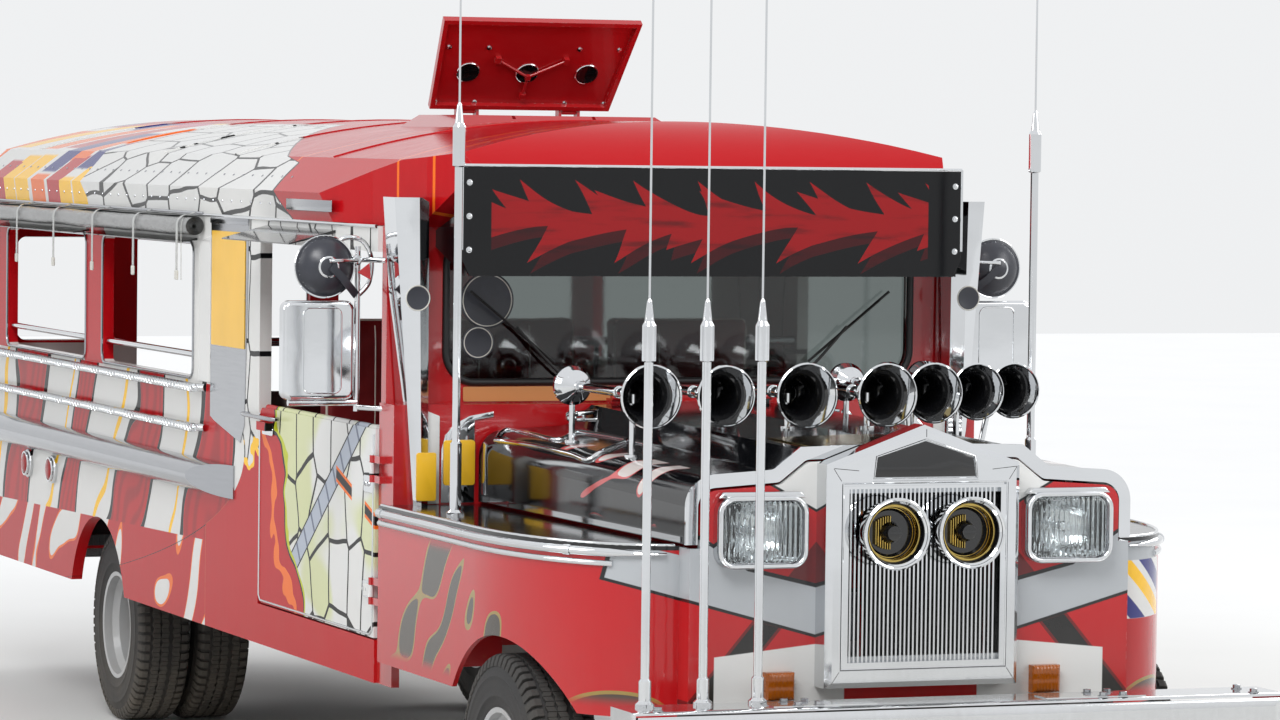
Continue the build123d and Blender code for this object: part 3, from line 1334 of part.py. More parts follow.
def aerials():
    """A mast with a stepped foot, a loading coil, a tapered ferrule and a thin whip."""
    pieces = []
    for x, y, foot, collar, coil_low, coil_top in AERIALS:
        pieces.append(turned_z([(0, foot), (26, foot), (26, foot + 8), (17, foot + 16), (17, collar),
                                (MAST_R, collar + 6), (MAST_R, coil_low - 4), (COIL_R, coil_low),
                                (COIL_R, coil_top - 12), (13, coil_top), (7, coil_top + 52),
                                (WHIP_R, coil_top + 60), (WHIP_R, WHIP_TIP), (0, WHIP_TIP)], x, y, 0))
    return pieces


# Rear step and lamps
STEP_LOW = RAIL_BOTTOM - 30
STEP_TOP = RAIL_BOTTOM + 6
STEP_HALF = 780
STEP_FRONT = BODY_REAR + 20
TAIL_X = 800
TAIL_Z = (960, 1110)


def rear_step():
    """Step board behind the doorway on two straps under the frame's rails."""
    step = block(-STEP_HALF, STEP_HALF, STEP_FRONT, STEP_REAR, STEP_LOW, STEP_TOP)
    step = fillet(step.edges().filter_by(Axis.Z).group_by(Axis.Y)[-1], 60)
    for side in (-1, 1):
        x = side * RAIL_X
        step = step + block(x - 30, x + 30, RAIL_REAR - 140, STEP_FRONT + 20, STEP_LOW, RAIL_BOTTOM)
    return step


def tail_lamps():
    return [turned_y([(0, 0), (58, 0), (58, 16), (48, 34), (0, 38)], side * TAIL_X, BODY_REAR, z)
            for side in (-1, 1) for z in TAIL_Z]


BUCKETS, LENSES = headlamps()
FIXED_HINGES, HOOD_LEAVES = hood_hinges()
save("chassis_frame", ladder_frame())
save("front_axle", front_axle())
save("rear_axle", rear_axle())
save("leaf_springs", *[leaf_spring(side * RAIL_X, y) for side in (-1, 1) for y in (AXLE_FRONT, AXLE_REAR)])
save("engine_block", engine())
save("exhaust", exhaust())
save("fuel_tank", fuel_tank())
save("front_bumper", bumper())
save("aerials", *aerials())
save("nose_panel", nose_panel())
save("front_fenders", fender(1), fender(-1))
save("lamp_housings", *BUCKETS, *grille_lamps())
save("headlamp_lenses", *LENSES)
save("turn_lamps", *turn_lamps())
save("radiator", radiator())
save("grille_shell", grille_shell())
save("grille_bars", grille_bars())
save("hood", joined([hood()] + HOOD_LEAVES))
save("hood_mouldings", *hood_mouldings())
save("air_horns", *air_horns())
save("cowl", joined([cowl()] + FIXED_HINGES + door_hinge_lugs(1) + door_hinge_lugs(-1)))
save("windshield_frame", windshield_frame())
save("windshield_glass", windshield_glass())
save("sun_visor", sun_visor())
save("pillar_wings", *pillar_wings())
save("floor", floor())
save("side_wall_left", side_wall(1))
save("side_wall_right", side_wall(-1))
save("rear_wall", rear_wall())
save("roof", roof())
save("roof_coaming", joined([roof_coaming()] + hatch_hinge_ears()))
save("roof_hatch", roof_hatch())
save("door_left", door(1))
save("door_right", door(-1))
save("dashboard", dashboard())
save("steering_wheel", steering_wheel())
save("seat_frames", *seat_frames())
save("cushions", *cushions())
save("partition", partition())
save("rain_rolls", *rain_rolls())
save("drip_blades", *drip_blades())
save("side_rails", *side_rails())
save("rub_rails", *rub_rails())
save("mirrors", *mirrors())
save("rear_step", rear_step())
save("tail_lamps", *tail_lamps())
for side, word in ((1, "left"), (-1, "right")):
    save(f"knuckle_{word}", knuckle(side))
    save(f"front_tyre_{word}", tyre(side * TRACK_FRONT, AXLE_FRONT))
    save(f"front_wheel_{word}", front_wheel(side))
    save(f"rear_tyres_{word}", *[tyre(side * x, AXLE_REAR) for x in (TWIN_INNER, TWIN_OUTER)])
    save(f"rear_wheels_{word}", rear_wheels(side))
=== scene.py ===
import math
import random

import bmesh
import bpy
from bpy.props import FloatProperty, FloatVectorProperty, IntProperty, PointerProperty
from mathutils import Matrix, Vector


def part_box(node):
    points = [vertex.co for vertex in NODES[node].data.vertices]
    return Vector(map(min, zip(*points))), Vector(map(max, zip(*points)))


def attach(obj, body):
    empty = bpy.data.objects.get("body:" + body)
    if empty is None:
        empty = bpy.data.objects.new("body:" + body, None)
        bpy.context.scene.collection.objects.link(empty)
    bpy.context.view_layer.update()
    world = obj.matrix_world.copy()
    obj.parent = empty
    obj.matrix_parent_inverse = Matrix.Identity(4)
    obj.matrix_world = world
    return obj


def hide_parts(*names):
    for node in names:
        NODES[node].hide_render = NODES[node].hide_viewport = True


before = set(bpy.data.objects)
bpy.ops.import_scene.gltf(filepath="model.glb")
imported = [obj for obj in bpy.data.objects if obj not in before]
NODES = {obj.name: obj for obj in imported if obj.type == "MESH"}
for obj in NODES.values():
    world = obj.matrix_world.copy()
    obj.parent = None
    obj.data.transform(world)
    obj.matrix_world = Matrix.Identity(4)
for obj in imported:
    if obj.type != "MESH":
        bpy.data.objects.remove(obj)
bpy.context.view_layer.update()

bl_info = {
    "name": "Jeepney dressing",
    "version": (1, 0, 0),
    "blender": (4, 5, 0),
    "location": "View3D > Sidebar > Jeepney",
    "description": "Paints the packed jeepney and adds its trim, tyres, seats and curtains",
    "category": "Object",
}

# Distance from the front of the hood back to the middle of the vehicle
NOSE_TO_MIDDLE = -0.4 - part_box("front_bumper")[0].y
SIDES = (-1, 1)


def tint(red, green, blue):
    """A screen colour, 0 to 255, as the linear colour that a socket takes."""
    return tuple((c / 255 / 12.92) if c <= 10 else ((c / 255 + 0.055) / 1.055) ** 2.4
                 for c in (red, green, blue))


def colour(name, description, red, green, blue):
    return FloatVectorProperty(name=name, description=description, subtype="COLOR", size=3,
                               min=0, max=1, default=tint(red, green, blue))


def length(name, description, default):
    return FloatProperty(name=name, description=description, default=default, min=0,
                         subtype="DISTANCE", unit="LENGTH")


class JeepneyColours(bpy.types.PropertyGroup):
    red: colour("Body red", "Main paint of the nose, roof and sides", 184, 6, 18)
    deep_red: colour("Deep red", "Shaded red of the graphics", 104, 5, 13)
    white: colour("White", "White fields of the graphics", 222, 222, 220)
    black: colour("Black gloss", "Hood, visor and fender tops", 9, 10, 13)
    line: colour("Line black", "Outlines of the graphics", 16, 16, 18)
    yellow: colour("Board yellow", "Blank boards on posts and cowl", 252, 196, 30)
    orange: colour("Orange", "Pinstripes and roof blocks", 238, 112, 30)
    navy: colour("Navy", "Roof blocks", 34, 38, 120)
    magenta: colour("Magenta", "Roof blocks", 190, 24, 96)
    silver: colour("Silver grey", "Grey bands of the nose", 176, 180, 184)
    gold: colour("Gold", "Curls on the fender aprons", 150, 128, 64)
    vinyl: colour("Seat vinyl", "Cushions", 116, 18, 22)
    floor: colour("Stage floor", "Pale floor under the vehicle", 226, 226, 224)


class JeepneySizes(bpy.types.PropertyGroup):
    tread_depth: length("Tread depth", "How far the tyre lugs stand up", 0.009)
    strap_width: length("Strap width", "Clear straps that hold the rolled curtains", 0.024)
    bolt_head: length("Bolt head", "Across the flats of a frame bolt", 0.019)
    piping: length("Piping", "Radius of the seat piping", 0.0045)
    gasket: length("Screen rubber", "Width of the rubber round the windshield", 0.022)
    curtain: length("Curtain drop", "Height of a rain curtain let down", 0.72)
    lugs: IntProperty(name="Tread blocks", description="Blocks round one tyre", default=62, min=20)
    straps: IntProperty(name="Curtain straps", description="Straps on each rolled curtain",
                        default=6, min=2)


def paints():
    return bpy.context.scene.jeepney_colours


def sizes():
    return bpy.context.scene.jeepney_sizes


# Modelling helpers. Places are millimetres: x to the vehicle's left, y back from the hood, z up.


def at(x, y, z):
    return Vector((x / 1000, y / 1000 - NOSE_TO_MIDDLE, z / 1000))


def clear_selection():
    if bpy.context.object and bpy.context.object.mode != "OBJECT":
        bpy.ops.object.mode_set(mode="OBJECT")
    bpy.ops.object.select_all(action="DESELECT")


def only(o):
    clear_selection()
    o.hide_set(False)
    o.select_set(True)
    bpy.context.view_layer.objects.active = o
    return o


def deleted(o):
    only(o)
    bpy.ops.object.delete()


def linked(name, data):
    """A new object with the given data, in the scene."""
    o = bpy.data.objects.new(name, data)
    bpy.context.scene.collection.objects.link(o)
    return o


def from_points(name, vertices, edges=(), faces=()):
    """An object made of bare points with their edges or faces."""
    data = bpy.data.meshes.new(name)
    data.from_pydata(vertices, edges, faces)
    return linked(name, data)


def struck(o, origin, way):
    """Where a ray first meets an object, and the skin's normal there."""
    hit, place, normal, _ = o.ray_cast(origin, way)
    if not hit:
        raise RuntimeError(f"a ray from {tuple(origin)} misses {o.name}")
    return place, normal


def named(name):
    """The primitive just added, named, with its place put into its mesh."""
    o = bpy.context.object
    o.name = name
    o.data.name = name
    bpy.ops.object.transform_apply(location=True, rotation=True, scale=True)
    return o


def block(name, x0, x1, y0, y1, z0, z1, bevel=0.0, segments=2):
    clear_selection()
    low, high = at(min(x0, x1), min(y0, y1), min(z0, z1)), at(max(x0, x1), max(y0, y1), max(z0, z1))
    bpy.ops.mesh.primitive_cube_add(size=1, location=(low + high) / 2, scale=high - low)
    o = named(name)
    return soften(o, bevel, segments) if bevel else o


def bar(name, start, end, radius, sides=20, bevel=0.0):
    """A round bar between two points in metres."""
    clear_selection()
    run = end - start
    turn = run.to_track_quat("Z", "Y").to_euler()
    bpy.ops.mesh.primitive_cylinder_add(vertices=sides, radius=radius, depth=run.length,
                                        location=(start + end) / 2, rotation=turn)
    o = named(name)
    return soften(o, bevel, 2) if bevel else o


def pick(o, kind, test):
    """Edit mode with the elements that pass the test selected."""
    only(o)
    bpy.ops.object.mode_set(mode="EDIT")
    bpy.ops.mesh.select_mode(type=kind)
    bpy.ops.mesh.select_all(action="DESELECT")
    mesh = bmesh.from_edit_mesh(o.data)
    for item in {"VERT": mesh.verts, "EDGE": mesh.edges, "FACE": mesh.faces}[kind]:
        if test(item):
            item.select_set(True)
    mesh.select_flush_mode()
    bmesh.update_edit_mesh(o.data)


def done():
    bpy.ops.object.mode_set(mode="OBJECT")


def modified(o, kind, **settings):
    only(o)
    modifier = o.modifiers.new(kind.title(), kind)
    for key, value in settings.items():
        setattr(modifier, key, value)
    bpy.ops.object.modifier_apply(modifier=modifier.name)
    return o


def repeated(o, count, step):
    """Copies of a piece in a row, each moved on by a step in metres."""
    return modified(o, "ARRAY", count=count, use_relative_offset=False, use_constant_offset=True,
                    constant_offset_displace=step)


def soften(o, width, segments=2, angle=35):
    return modified(o, "BEVEL", width=width, segments=segments, limit_method="ANGLE",
                    angle_limit=math.radians(angle), harden_normals=False)


def polish(o, angle=32):
    only(o)
    bpy.ops.object.shade_smooth_by_angle(angle=math.radians(angle))
    return o


def outward(o):
    """Doubles merged, then every face turned outwards."""
    pick(o, "VERT", lambda v: True)
    bpy.ops.mesh.remove_doubles(threshold=0.00005)
    bpy.ops.mesh.select_all(action="SELECT")
    bpy.ops.mesh.normals_make_consistent(inside=False)
    done()
    return o


def joined(name, pieces):
    """Several pieces as one object."""
    clear_selection()
    for o in pieces:
        o.select_set(True)
    bpy.context.view_layer.objects.active = pieces[0]
    if len(pieces) > 1:
        bpy.ops.object.join()
    o = bpy.context.object
    o.name = name
    o.data.name = name
    return o


def copied(o, name, matrix):
    """A copy with its own mesh, moved by the matrix, faces turned right after a mirror."""
    only(o)
    bpy.ops.object.duplicate(linked=False)
    other = bpy.context.object
    other.name = name
    other.data.name = name
    other.data.transform(matrix)
    if matrix.determinant() < 0:
        other.data.flip_normals()
    return other


def shifted(x=0.0, y=0.0, z=0.0):
    return Matrix.Translation((x / 1000, y / 1000, z / 1000))


MIRROR = Matrix.Diagonal((-1, 1, 1, 1))


def both_sides(pieces):
    """The given pieces, and their mirror images."""
    return pieces + [copied(o, o.name + "_right", MIRROR) for o in pieces]


def lathe(name, outline, origin, axis, steps=48, closed=True):
    """An outline of (distance along the axis, radius) in millimetres, spun about the axis."""
    clear_selection()
    axis = Vector(axis).normalized()
    side = axis.orthogonal().normalized()
    points = [origin + axis * (along / 1000) + side * (radius / 1000) for along, radius in outline]
    count = len(points)
    edges = [(i, i + 1) for i in range(count - 1)] + ([(count - 1, 0)] if closed else [])
    o = from_points(name, points, edges)
    pick(o, "VERT", lambda v: True)
    bpy.ops.mesh.spin(steps=steps, angle=2 * math.pi, center=origin, axis=axis, use_auto_merge=True)
    done()
    return outward(o)


def pipe(name, points, radius, cyclic=False, sides=5, flat=None):
    """A tube along points in metres, made as a curve and turned into a mesh."""
    curve = bpy.data.curves.new(name, "CURVE")
    curve.dimensions = "3D"
    curve.bevel_depth = radius
    curve.bevel_resolution = sides
    curve.use_fill_caps = True
    spline = curve.splines.new("POLY")
    spline.points.add(len(points) - 1)
    for point, place in zip(spline.points, points):
        point.co = (*place, 1)
    spline.use_cyclic_u = cyclic
    only(linked(name, curve))
    bpy.ops.object.convert(target="MESH")
    o = bpy.context.object
    o.name = name
    if flat:
        o.data.transform(flat)
    return o


def ribbon(name, points, across, width, thick):
    """A flat strip that follows points in metres, its width along the across vector."""
    across = Vector(across).normalized() * (width / 2)
    vertices, faces = [], []
    for point in points:
        vertices += [Vector(point) - across, Vector(point) + across]
    for i in range(len(points) - 1):
        a = 2 * i
        faces.append((a, a + 1, a + 3, a + 2))
    o = from_points(name, vertices, faces=faces)
    pick(o, "FACE", lambda f: True)
    bpy.ops.mesh.normals_make_consistent(inside=False)
    done()
    return modified(o, "SOLIDIFY", thickness=thick, offset=0)


def flat(outline, axis, level):
    """The points of a flat outline, in millimetres, at a level on an axis (0, 1 or 2)."""
    others = [i for i in range(3) if i != axis]
    points = []
    for pair in outline:
        place = [level] * 3
        place[others[0]], place[others[1]] = pair
        points.append(at(*place))
    return points


def plate(name, outline, normal_axis, low, high, bevel=0.0, segments=2):
    """A flat outline, in millimetres, extruded between two places on an axis (0, 1 or 2)."""
    o = from_points(name, flat(outline, normal_axis, low), faces=[tuple(range(len(outline)))])
    pick(o, "FACE", lambda f: True)
    move = [0, 0, 0]
    move[normal_axis] = (high - low) / 1000
    bpy.ops.mesh.extrude_region_move(TRANSFORM_OT_translate={"value": move})
    bpy.ops.mesh.select_all(action="SELECT")
    bpy.ops.mesh.normals_make_consistent(inside=False)
    done()
    return soften(o, bevel, segments) if bevel else o


def round_corners(u0, u1, v0, v1, radius, steps=6):
    """Outline of a rectangle with round corners, in millimetres."""
    points = []
    for cu, cv, start in ((u1 - radius, v1 - radius, 0), (u0 + radius, v1 - radius, 90),
                          (u0 + radius, v0 + radius, 180), (u1 - radius, v0 + radius, 270)):
        for i in range(steps + 1):
            angle = math.radians(start + 90 * i / steps)
            points.append((cu + radius * math.cos(angle), cv + radius * math.sin(angle)))
    return points


def hex_bolt(name, place, axis, size, height):
    """A hexagon head on a washer, standing along the axis from a point in metres."""
    axis = Vector(axis).normalized()
    washer = bar(name, place, place + axis * height * 0.25, size * 0.78, 16)
    head = bar(name + "_head", place + axis * height * 0.2, place + axis * height, size * 0.56, 6)
    pick(head, "FACE", lambda f: f.normal.dot(axis) > 0.9)
    bpy.ops.mesh.inset(thickness=size * 0.1, depth=size * 0.05)
    done()
    return joined(name, [washer, head])


# The material slot that goes with a finish, unless a piece names another
SLOTS = {"chrome": "chrome", "brass": "chrome", "mirror": "chrome", "stainless": "stainless",
         "pale": "white_paint", "white": "white_paint", "disc": "black_plastic", "plastic": "black_plastic",
         "seal": "black_plastic", "black": "black_paint", "frame": "frame_black", "piping": "red_vinyl",
         "vinyl": "red_vinyl", "red": "red_paint", "roof": "red_paint", "orange": "red_paint",
         "yellow": "amber_lens", "ruby": "red_lens", "film": "clear_film", "strap": "clear_film"}


def fit(o, body, finish, slot=None, angle=32):
    """Shades a finished piece, paints it and lets it ride on its body."""
    slot = slot or SLOTS[finish]
    polish(o, angle)
    o.data.materials.clear()
    o.data.materials.append(M[finish])
    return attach(o, body)


def fit_all(name, pieces, body, finish, slot=None, angle=32):
    """Pieces as one object, fitted."""
    return fit(joined(name, pieces), body, finish, slot, angle)


def fit_pair(name, pieces, body, finish, slot=None, angle=32):
    """Pieces of the right side as one object, fitted with its mirror image."""
    return [fit(o, body, finish, slot, angle) for o in both_sides([joined(name, pieces)])]


# Materials


class Signal:
    """The output of a node. Plain sums with it add Math nodes to its recipe."""

    def __init__(self, recipe, socket):
        self.recipe, self.socket = recipe, socket

    def __add__(self, other):
        return self.recipe.maths("ADD", self, other)

    def __sub__(self, other):
        return self.recipe.maths("SUBTRACT", self, other)

    def __rsub__(self, other):
        return self.recipe.maths("SUBTRACT", other, self)

    def __mul__(self, other):
        return self.recipe.maths("MULTIPLY", self, other)

    def __truediv__(self, other):
        return self.recipe.maths("DIVIDE", self, other)

    def __abs__(self):
        return self.recipe.maths("ABSOLUTE", self)

    __radd__, __rmul__ = __add__, __mul__


class Recipe:
    """Adds and joins the nodes of one material or group."""

    def __init__(self, tree):
        self.tree = tree
        self.shader = tree.nodes.get("Principled BSDF")

    def feed(self, socket, value):
        if isinstance(value, Signal):
            value = value.socket
        if isinstance(value, bpy.types.NodeSocket):
            self.tree.links.new(value, socket)
        elif socket.type == "RGBA":
            socket.default_value = (*value[:3], 1.0)
        else:
            socket.default_value = value

    def shade(self, name, value):
        """Feeds one socket of the shader: a plain value stays on the socket itself."""
        self.feed(self.shader.inputs[name], value)

    def bump(self, height, strength, distance):
        node = self.add("ShaderNodeBump", {"Height": height, "Strength": strength, "Distance": distance})
        self.shade("Normal", node.outputs[0])

    def seen_directly(self):
        """1 for the camera and for what mirrors and glass show of it, 0 for light that only fills."""
        rays = self.add("ShaderNodeLightPath").outputs
        shown = self.either(rays["Is Glossy Ray"], rays["Is Transmission Ray"])
        return self.either(rays["Is Camera Ray"], shown)

    def add(self, kind, inputs=None, **settings):
        node = self.tree.nodes.new(kind)
        for key, value in settings.items():
            setattr(node, key, value)
        for key, value in (inputs or {}).items():
            self.feed(node.inputs[key], value)
        return node

    def maths(self, operation, a, b=0.0, c=0.0):
        node = self.add("ShaderNodeMath", operation=operation, use_clamp=False)
        for socket, value in zip(node.inputs, (a, b, c)):
            self.feed(socket, value)
        return Signal(self, node.outputs[0])

    def vector_maths(self, operation, a, b, output="Vector"):
        node = self.add("ShaderNodeVectorMath", operation=operation)
        self.feed(node.inputs[0], a)
        self.feed(node.inputs[1], b)
        return Signal(self, node.outputs[output])

    def mix(self, factor, a, b):
        node = self.add("ShaderNodeMix", data_type="RGBA")
        self.feed(node.inputs[0], factor)
        self.feed(node.inputs[6], a)
        self.feed(node.inputs[7], b)
        return Signal(self, node.outputs[2])

    def layers(self, base, *coats):
        """A colour under coats of (mask, colour), each laid over the one before."""
        for mask, three in coats:
            base = self.mix(mask, base, three)
        return base

    def smooth(self, value, low, high):
        node = self.add("ShaderNodeMapRange", interpolation_type="SMOOTHSTEP")
        for socket, part in zip(node.inputs, (value, low, high)):
            self.feed(socket, part)
        return Signal(self, node.outputs[0])

    def scaled(self, value, low, high):
        """A 0 to 1 value brought between two plain numbers."""
        return self.maths("MULTIPLY_ADD", value, high - low, low)

    def above(self, value, limit, soft=0.0015):
        return self.smooth(value, limit - soft, limit + soft)

    def between(self, value, low, high, soft=0.0015):
        return self.above(value, low, soft) * (1 - self.above(value, high, soft))

    def either(self, a, b):
        return self.maths("MAXIMUM", a, b)

    def without(self, a, b):
        return a * (1 - b)

    def noise(self, vector, scale, detail=3.0, roughness=0.55):
        node = self.add("ShaderNodeTexNoise", {"Vector": vector, "Scale": scale, "Detail": detail,
                                               "Roughness": roughness})
        return Signal(self, node.outputs["Fac"])

    def line(self, across, up, slope, level):
        """How far a point lies above a straight line: up - slope * across - level."""
        return up - across * slope - level

    def group(self, name, **inputs):
        node = self.add("ShaderNodeGroup", node_tree=shared_group(name))
        for key, value in inputs.items():
            self.feed(node.inputs[key.replace("_", " ")], value)
        return {socket.name: Signal(self, socket) for socket in node.outputs}

    def object_place(self):
        """Object coordinates moved so that y counts back from the front of the hood."""
        source = self.add("ShaderNodeTexCoord").outputs["Object"]
        move = {"Vector": source, "Location": (0, NOSE_TO_MIDDLE, 0)}
        return self.add("ShaderNodeMapping", move).outputs[0]

    def split(self, vector):
        node = self.add("ShaderNodeSeparateXYZ", {0: vector})
        return [Signal(self, socket) for socket in node.outputs]

    def join(self, x, y, z):
        return self.add("ShaderNodeCombineXYZ", {0: x, 1: y, 2: z}).outputs[0]


def new_group(name, inputs, outputs):
    tree = bpy.data.node_groups.new(name, "ShaderNodeTree")
    for label, kind, default in inputs:
        socket = tree.interface.new_socket(label, in_out="INPUT", socket_type=kind)
        if default is not None:
            socket.default_value = default
    for label in outputs:
        tree.interface.new_socket(label, in_out="OUTPUT", socket_type="NodeSocketFloat")
    recipe = Recipe(tree)
    source = {socket.name: Signal(recipe, socket) for socket in recipe.add("NodeGroupInput").outputs}
    return tree, recipe, source, recipe.add("NodeGroupOutput").inputs


NUMBER, VECTOR = "NodeSocketFloat", "NodeSocketVector"


def edge_wear_group():
    """Rubbed edges: where the rounded normal leaves the true one, broken up by grain."""
    tree, r, source, out = new_group("Edge wear", [("Radius", NUMBER, 0.006), ("Amount", NUMBER, 0.5),
                                                   ("Grain", NUMBER, 45.0)], ["Mask"])
    place = r.object_place()
    rounded = r.add("ShaderNodeBevel", {"Radius": source["Radius"]}, samples=3).outputs[0]
    true = r.add("ShaderNodeNewGeometry").outputs["Normal"]
    turn = 1 - r.vector_maths("DOT_PRODUCT", rounded, true, "Value")
    edge = r.smooth(turn, 0.02, 0.2)
    broken = r.smooth(r.noise(place, source["Grain"], 4.0, 0.7), 0.5, 0.66)
    r.feed(out["Mask"], edge * broken * source["Amount"])
    return tree


def road_dust_group():
    """Dust that thins out with height, with streaks running down."""
    tree, r, source, out = new_group("Road dust", [("Low", NUMBER, 0.1), ("High", NUMBER, 0.9),
                                                   ("Amount", NUMBER, 0.5)], ["Mask"])
    place = r.object_place()
    x, y, z = r.split(place)
    low = 1 - r.smooth(z, source["Low"], source["High"])
    patches = r.smooth(r.noise(place, 3.5, 6.0, 0.65), 0.3, 0.75)
    streaks = r.noise(r.join(x * 30.0, y * 30.0, z), 1.6, 3.0)
    spread = low * source["Amount"] * (patches * 0.7 + streaks * 0.5)
    r.feed(out["Mask"], r.maths("MINIMUM", spread, 1.0))
    return tree


def gloss_film_group():
    """The faint waviness of sprayed paint, with fine wiping marks for the roughness."""
    tree, r, source, out = new_group("Gloss film", [("Scale", NUMBER, 260.0), ("Smear", NUMBER, 9.0)],
                                     ["Height", "Smear"])
    place = r.object_place()
    r.feed(out["Height"], r.noise(place, source["Scale"], 2.0))
    x, y, z = r.split(place)
    r.feed(out["Smear"], r.noise(r.join(x, y * 3.0, z * 0.6), source["Smear"], 5.0, 0.7))
    return tree


def cell_lines_group():
    """Drawn outlines of uneven six-sided cells on a flat pattern."""
    tree, r, source, out = new_group("Cell lines", [("Vector", VECTOR, None), ("Scale", NUMBER, 4.0),
                                                    ("Width", NUMBER, 0.03), ("Warp", NUMBER, 0.03)],
                                     ["Line", "Cell"])
    wobble = r.add("ShaderNodeTexNoise", {"Vector": source["Vector"], "Scale": 3.0}).outputs["Color"]
    shift = r.add("ShaderNodeVectorMath", {0: wobble, "Scale": source["Warp"]}, operation="SCALE").outputs[0]
    place = r.vector_maths("ADD", source["Vector"], shift)
    edges = r.add("ShaderNodeTexVoronoi", {"Vector": place, "Scale": source["Scale"], "Randomness": 0.62},
                  feature="DISTANCE_TO_EDGE").outputs["Distance"]
    cells = r.add("ShaderNodeTexVoronoi", {"Vector": place, "Scale": source["Scale"], "Randomness": 0.62},
                  feature="F1").outputs["Color"]
    thick = source["Width"] * 0.8
    r.feed(out["Line"], 1 - r.smooth(edges, thick, source["Width"]))
    r.feed(out["Cell"], r.split(cells)[0])
    return tree


def curls_group():
    """Brushed curls: bands bent by noise, with a core and an outline."""
    tree, r, source, out = new_group("Curls", [("Vector", VECTOR, None), ("Scale", NUMBER, 2.2),
                                               ("Bend", NUMBER, 6.0), ("Fill", NUMBER, 0.62)],
                                     ["Core", "Outline"])
    wave = r.add("ShaderNodeTexWave", {"Vector": source["Vector"], "Scale": source["Scale"],
                                       "Distortion": source["Bend"], "Detail": 1.2, "Detail Scale": 0.7},
                 wave_type="BANDS", bands_direction="DIAGONAL").outputs["Fac"]
    taper = r.noise(source["Vector"], 1.7, 1.0)
    value = wave * r.smooth(taper, 0.38, 0.6)
    core = r.smooth(value, source["Fill"] + 0.035, source["Fill"] + 0.05)
    wide = r.smooth(value, source["Fill"] - 0.05, source["Fill"] - 0.035)
    r.feed(out["Core"], core)
    r.feed(out["Outline"], r.without(wide, core))
    return tree


def brushed_group():
    """Grain of rolled or polished metal, long in one direction."""
    tree, r, source, out = new_group("Brushed grain", [("Stretch", VECTOR, (4.0, 4.0, 120.0)),
                                                       ("Dents", NUMBER, 7.0)], ["Grain", "Dents"])
    place = r.object_place()
    r.feed(out["Grain"], r.noise(r.vector_maths("MULTIPLY", place, source["Stretch"]), 1.0, 4.0, 0.6))
    r.feed(out["Dents"], r.noise(place, source["Dents"], 1.5, 0.4))
    return tree


def leather_group():
    """Pebbled grain of upholstery vinyl."""
    tree, r, source, out = new_group("Vinyl grain", [("Scale", NUMBER, 420.0)], ["Height", "Wear"])
    place = r.object_place()
    cells = r.add("ShaderNodeTexVoronoi", {"Vector": place, "Scale": source["Scale"]},
                  feature="SMOOTH_F1").outputs["Distance"]
    r.feed(out["Height"], cells + r.noise(place, 60.0, 4.0) * 0.6)
    r.feed(out["Wear"], r.smooth(r.noise(place, 7.0, 5.0, 0.65), 0.48, 0.72))
    return tree


GROUPS = {"Edge wear": edge_wear_group, "Road dust": road_dust_group, "Gloss film": gloss_film_group,
          "Cell lines": cell_lines_group, "Curls": curls_group, "Brushed grain": brushed_group,
          "Vinyl grain": leather_group}


def shared_group(name):
    return bpy.data.node_groups.get(name) or GROUPS[name]()


def new_material(name):
    made = bpy.data.materials.new(name)
    made.use_nodes = True
    return made, Recipe(made.node_tree)


DUST = tint(142, 130, 112)
BARE_METAL = tint(150, 148, 146)


def paint_finish(r, base, dust_top=1.0, dust=0.3, wear=0.45, roughness=0.11, coat=0.5, fade=0.03,
                 specular=0.5):
    """Sprayed enamel over a colour: wavy film, smears, worn edges and road dust."""
    film = r.group("Gloss film")
    worn = r.group("Edge wear", Radius=0.005, Amount=wear)["Mask"]
    dusty = r.group("Road dust", Low=0.3, High=dust_top, Amount=dust * 0.45)["Mask"]
    faded = r.mix(r.scaled(film["Smear"], 0.0, fade), base, tint(200, 196, 190))
    r.shade("Base Color", r.layers(faded, (worn, BARE_METAL), (dusty, DUST)))
    rough = r.scaled(film["Smear"], roughness - 0.04, roughness + 0.12) + r.either(dusty, worn) * 0.5
    r.shade("Roughness", rough)
    r.shade("Coat Weight", (1 - dusty) * coat)
    r.shade("Coat Roughness", 0.04)
    r.shade("Specular IOR Level", specular)
    r.bump(film["Height"], 0.12, 0.0004)


def plain_paint(name, three, **settings):
    made, r = new_material(name)
    shade = r.mix(r.noise(r.object_place(), 1.4, 2.0), three, [c * 0.86 for c in three])
    paint_finish(r, shade, **settings)
    return made


def metal(name, three, roughness, dents=0.2, grain=(4.0, 4.0, 90.0), dust=0.25, dust_top=1.0, rust=0.0):
    """Polished or rolled metal with grain, soft dents, dust and, low down, some rust."""
    made, r = new_material(name)
    brushed = r.group("Brushed grain", Stretch=grain)
    dusty = r.group("Road dust", Low=0.3, High=dust_top, Amount=dust)["Mask"]
    base = r.mix(r.scaled(brushed["Grain"], 0.0, 0.45), three, [c * 0.72 for c in three])
    spots = r.smooth(r.noise(r.object_place(), 26.0, 6.0, 0.7), 0.74 - rust * 0.3, 0.8 - rust * 0.25)
    rusted = spots * min(1.0, rust * 2)
    r.shade("Base Color", r.layers(base, (rusted, tint(96, 52, 30)), (dusty * 0.8, DUST)))
    r.shade("Metallic", 1 - r.either(dusty * 0.7, rusted))
    rough = r.scaled(brushed["Grain"], roughness * 0.7, roughness * 1.5)
    r.shade("Roughness", rough + r.either(dusty, rusted) * 0.5)
    r.bump(brushed["Grain"] * 0.15 + brushed["Dents"], dents, 0.004)
    return made


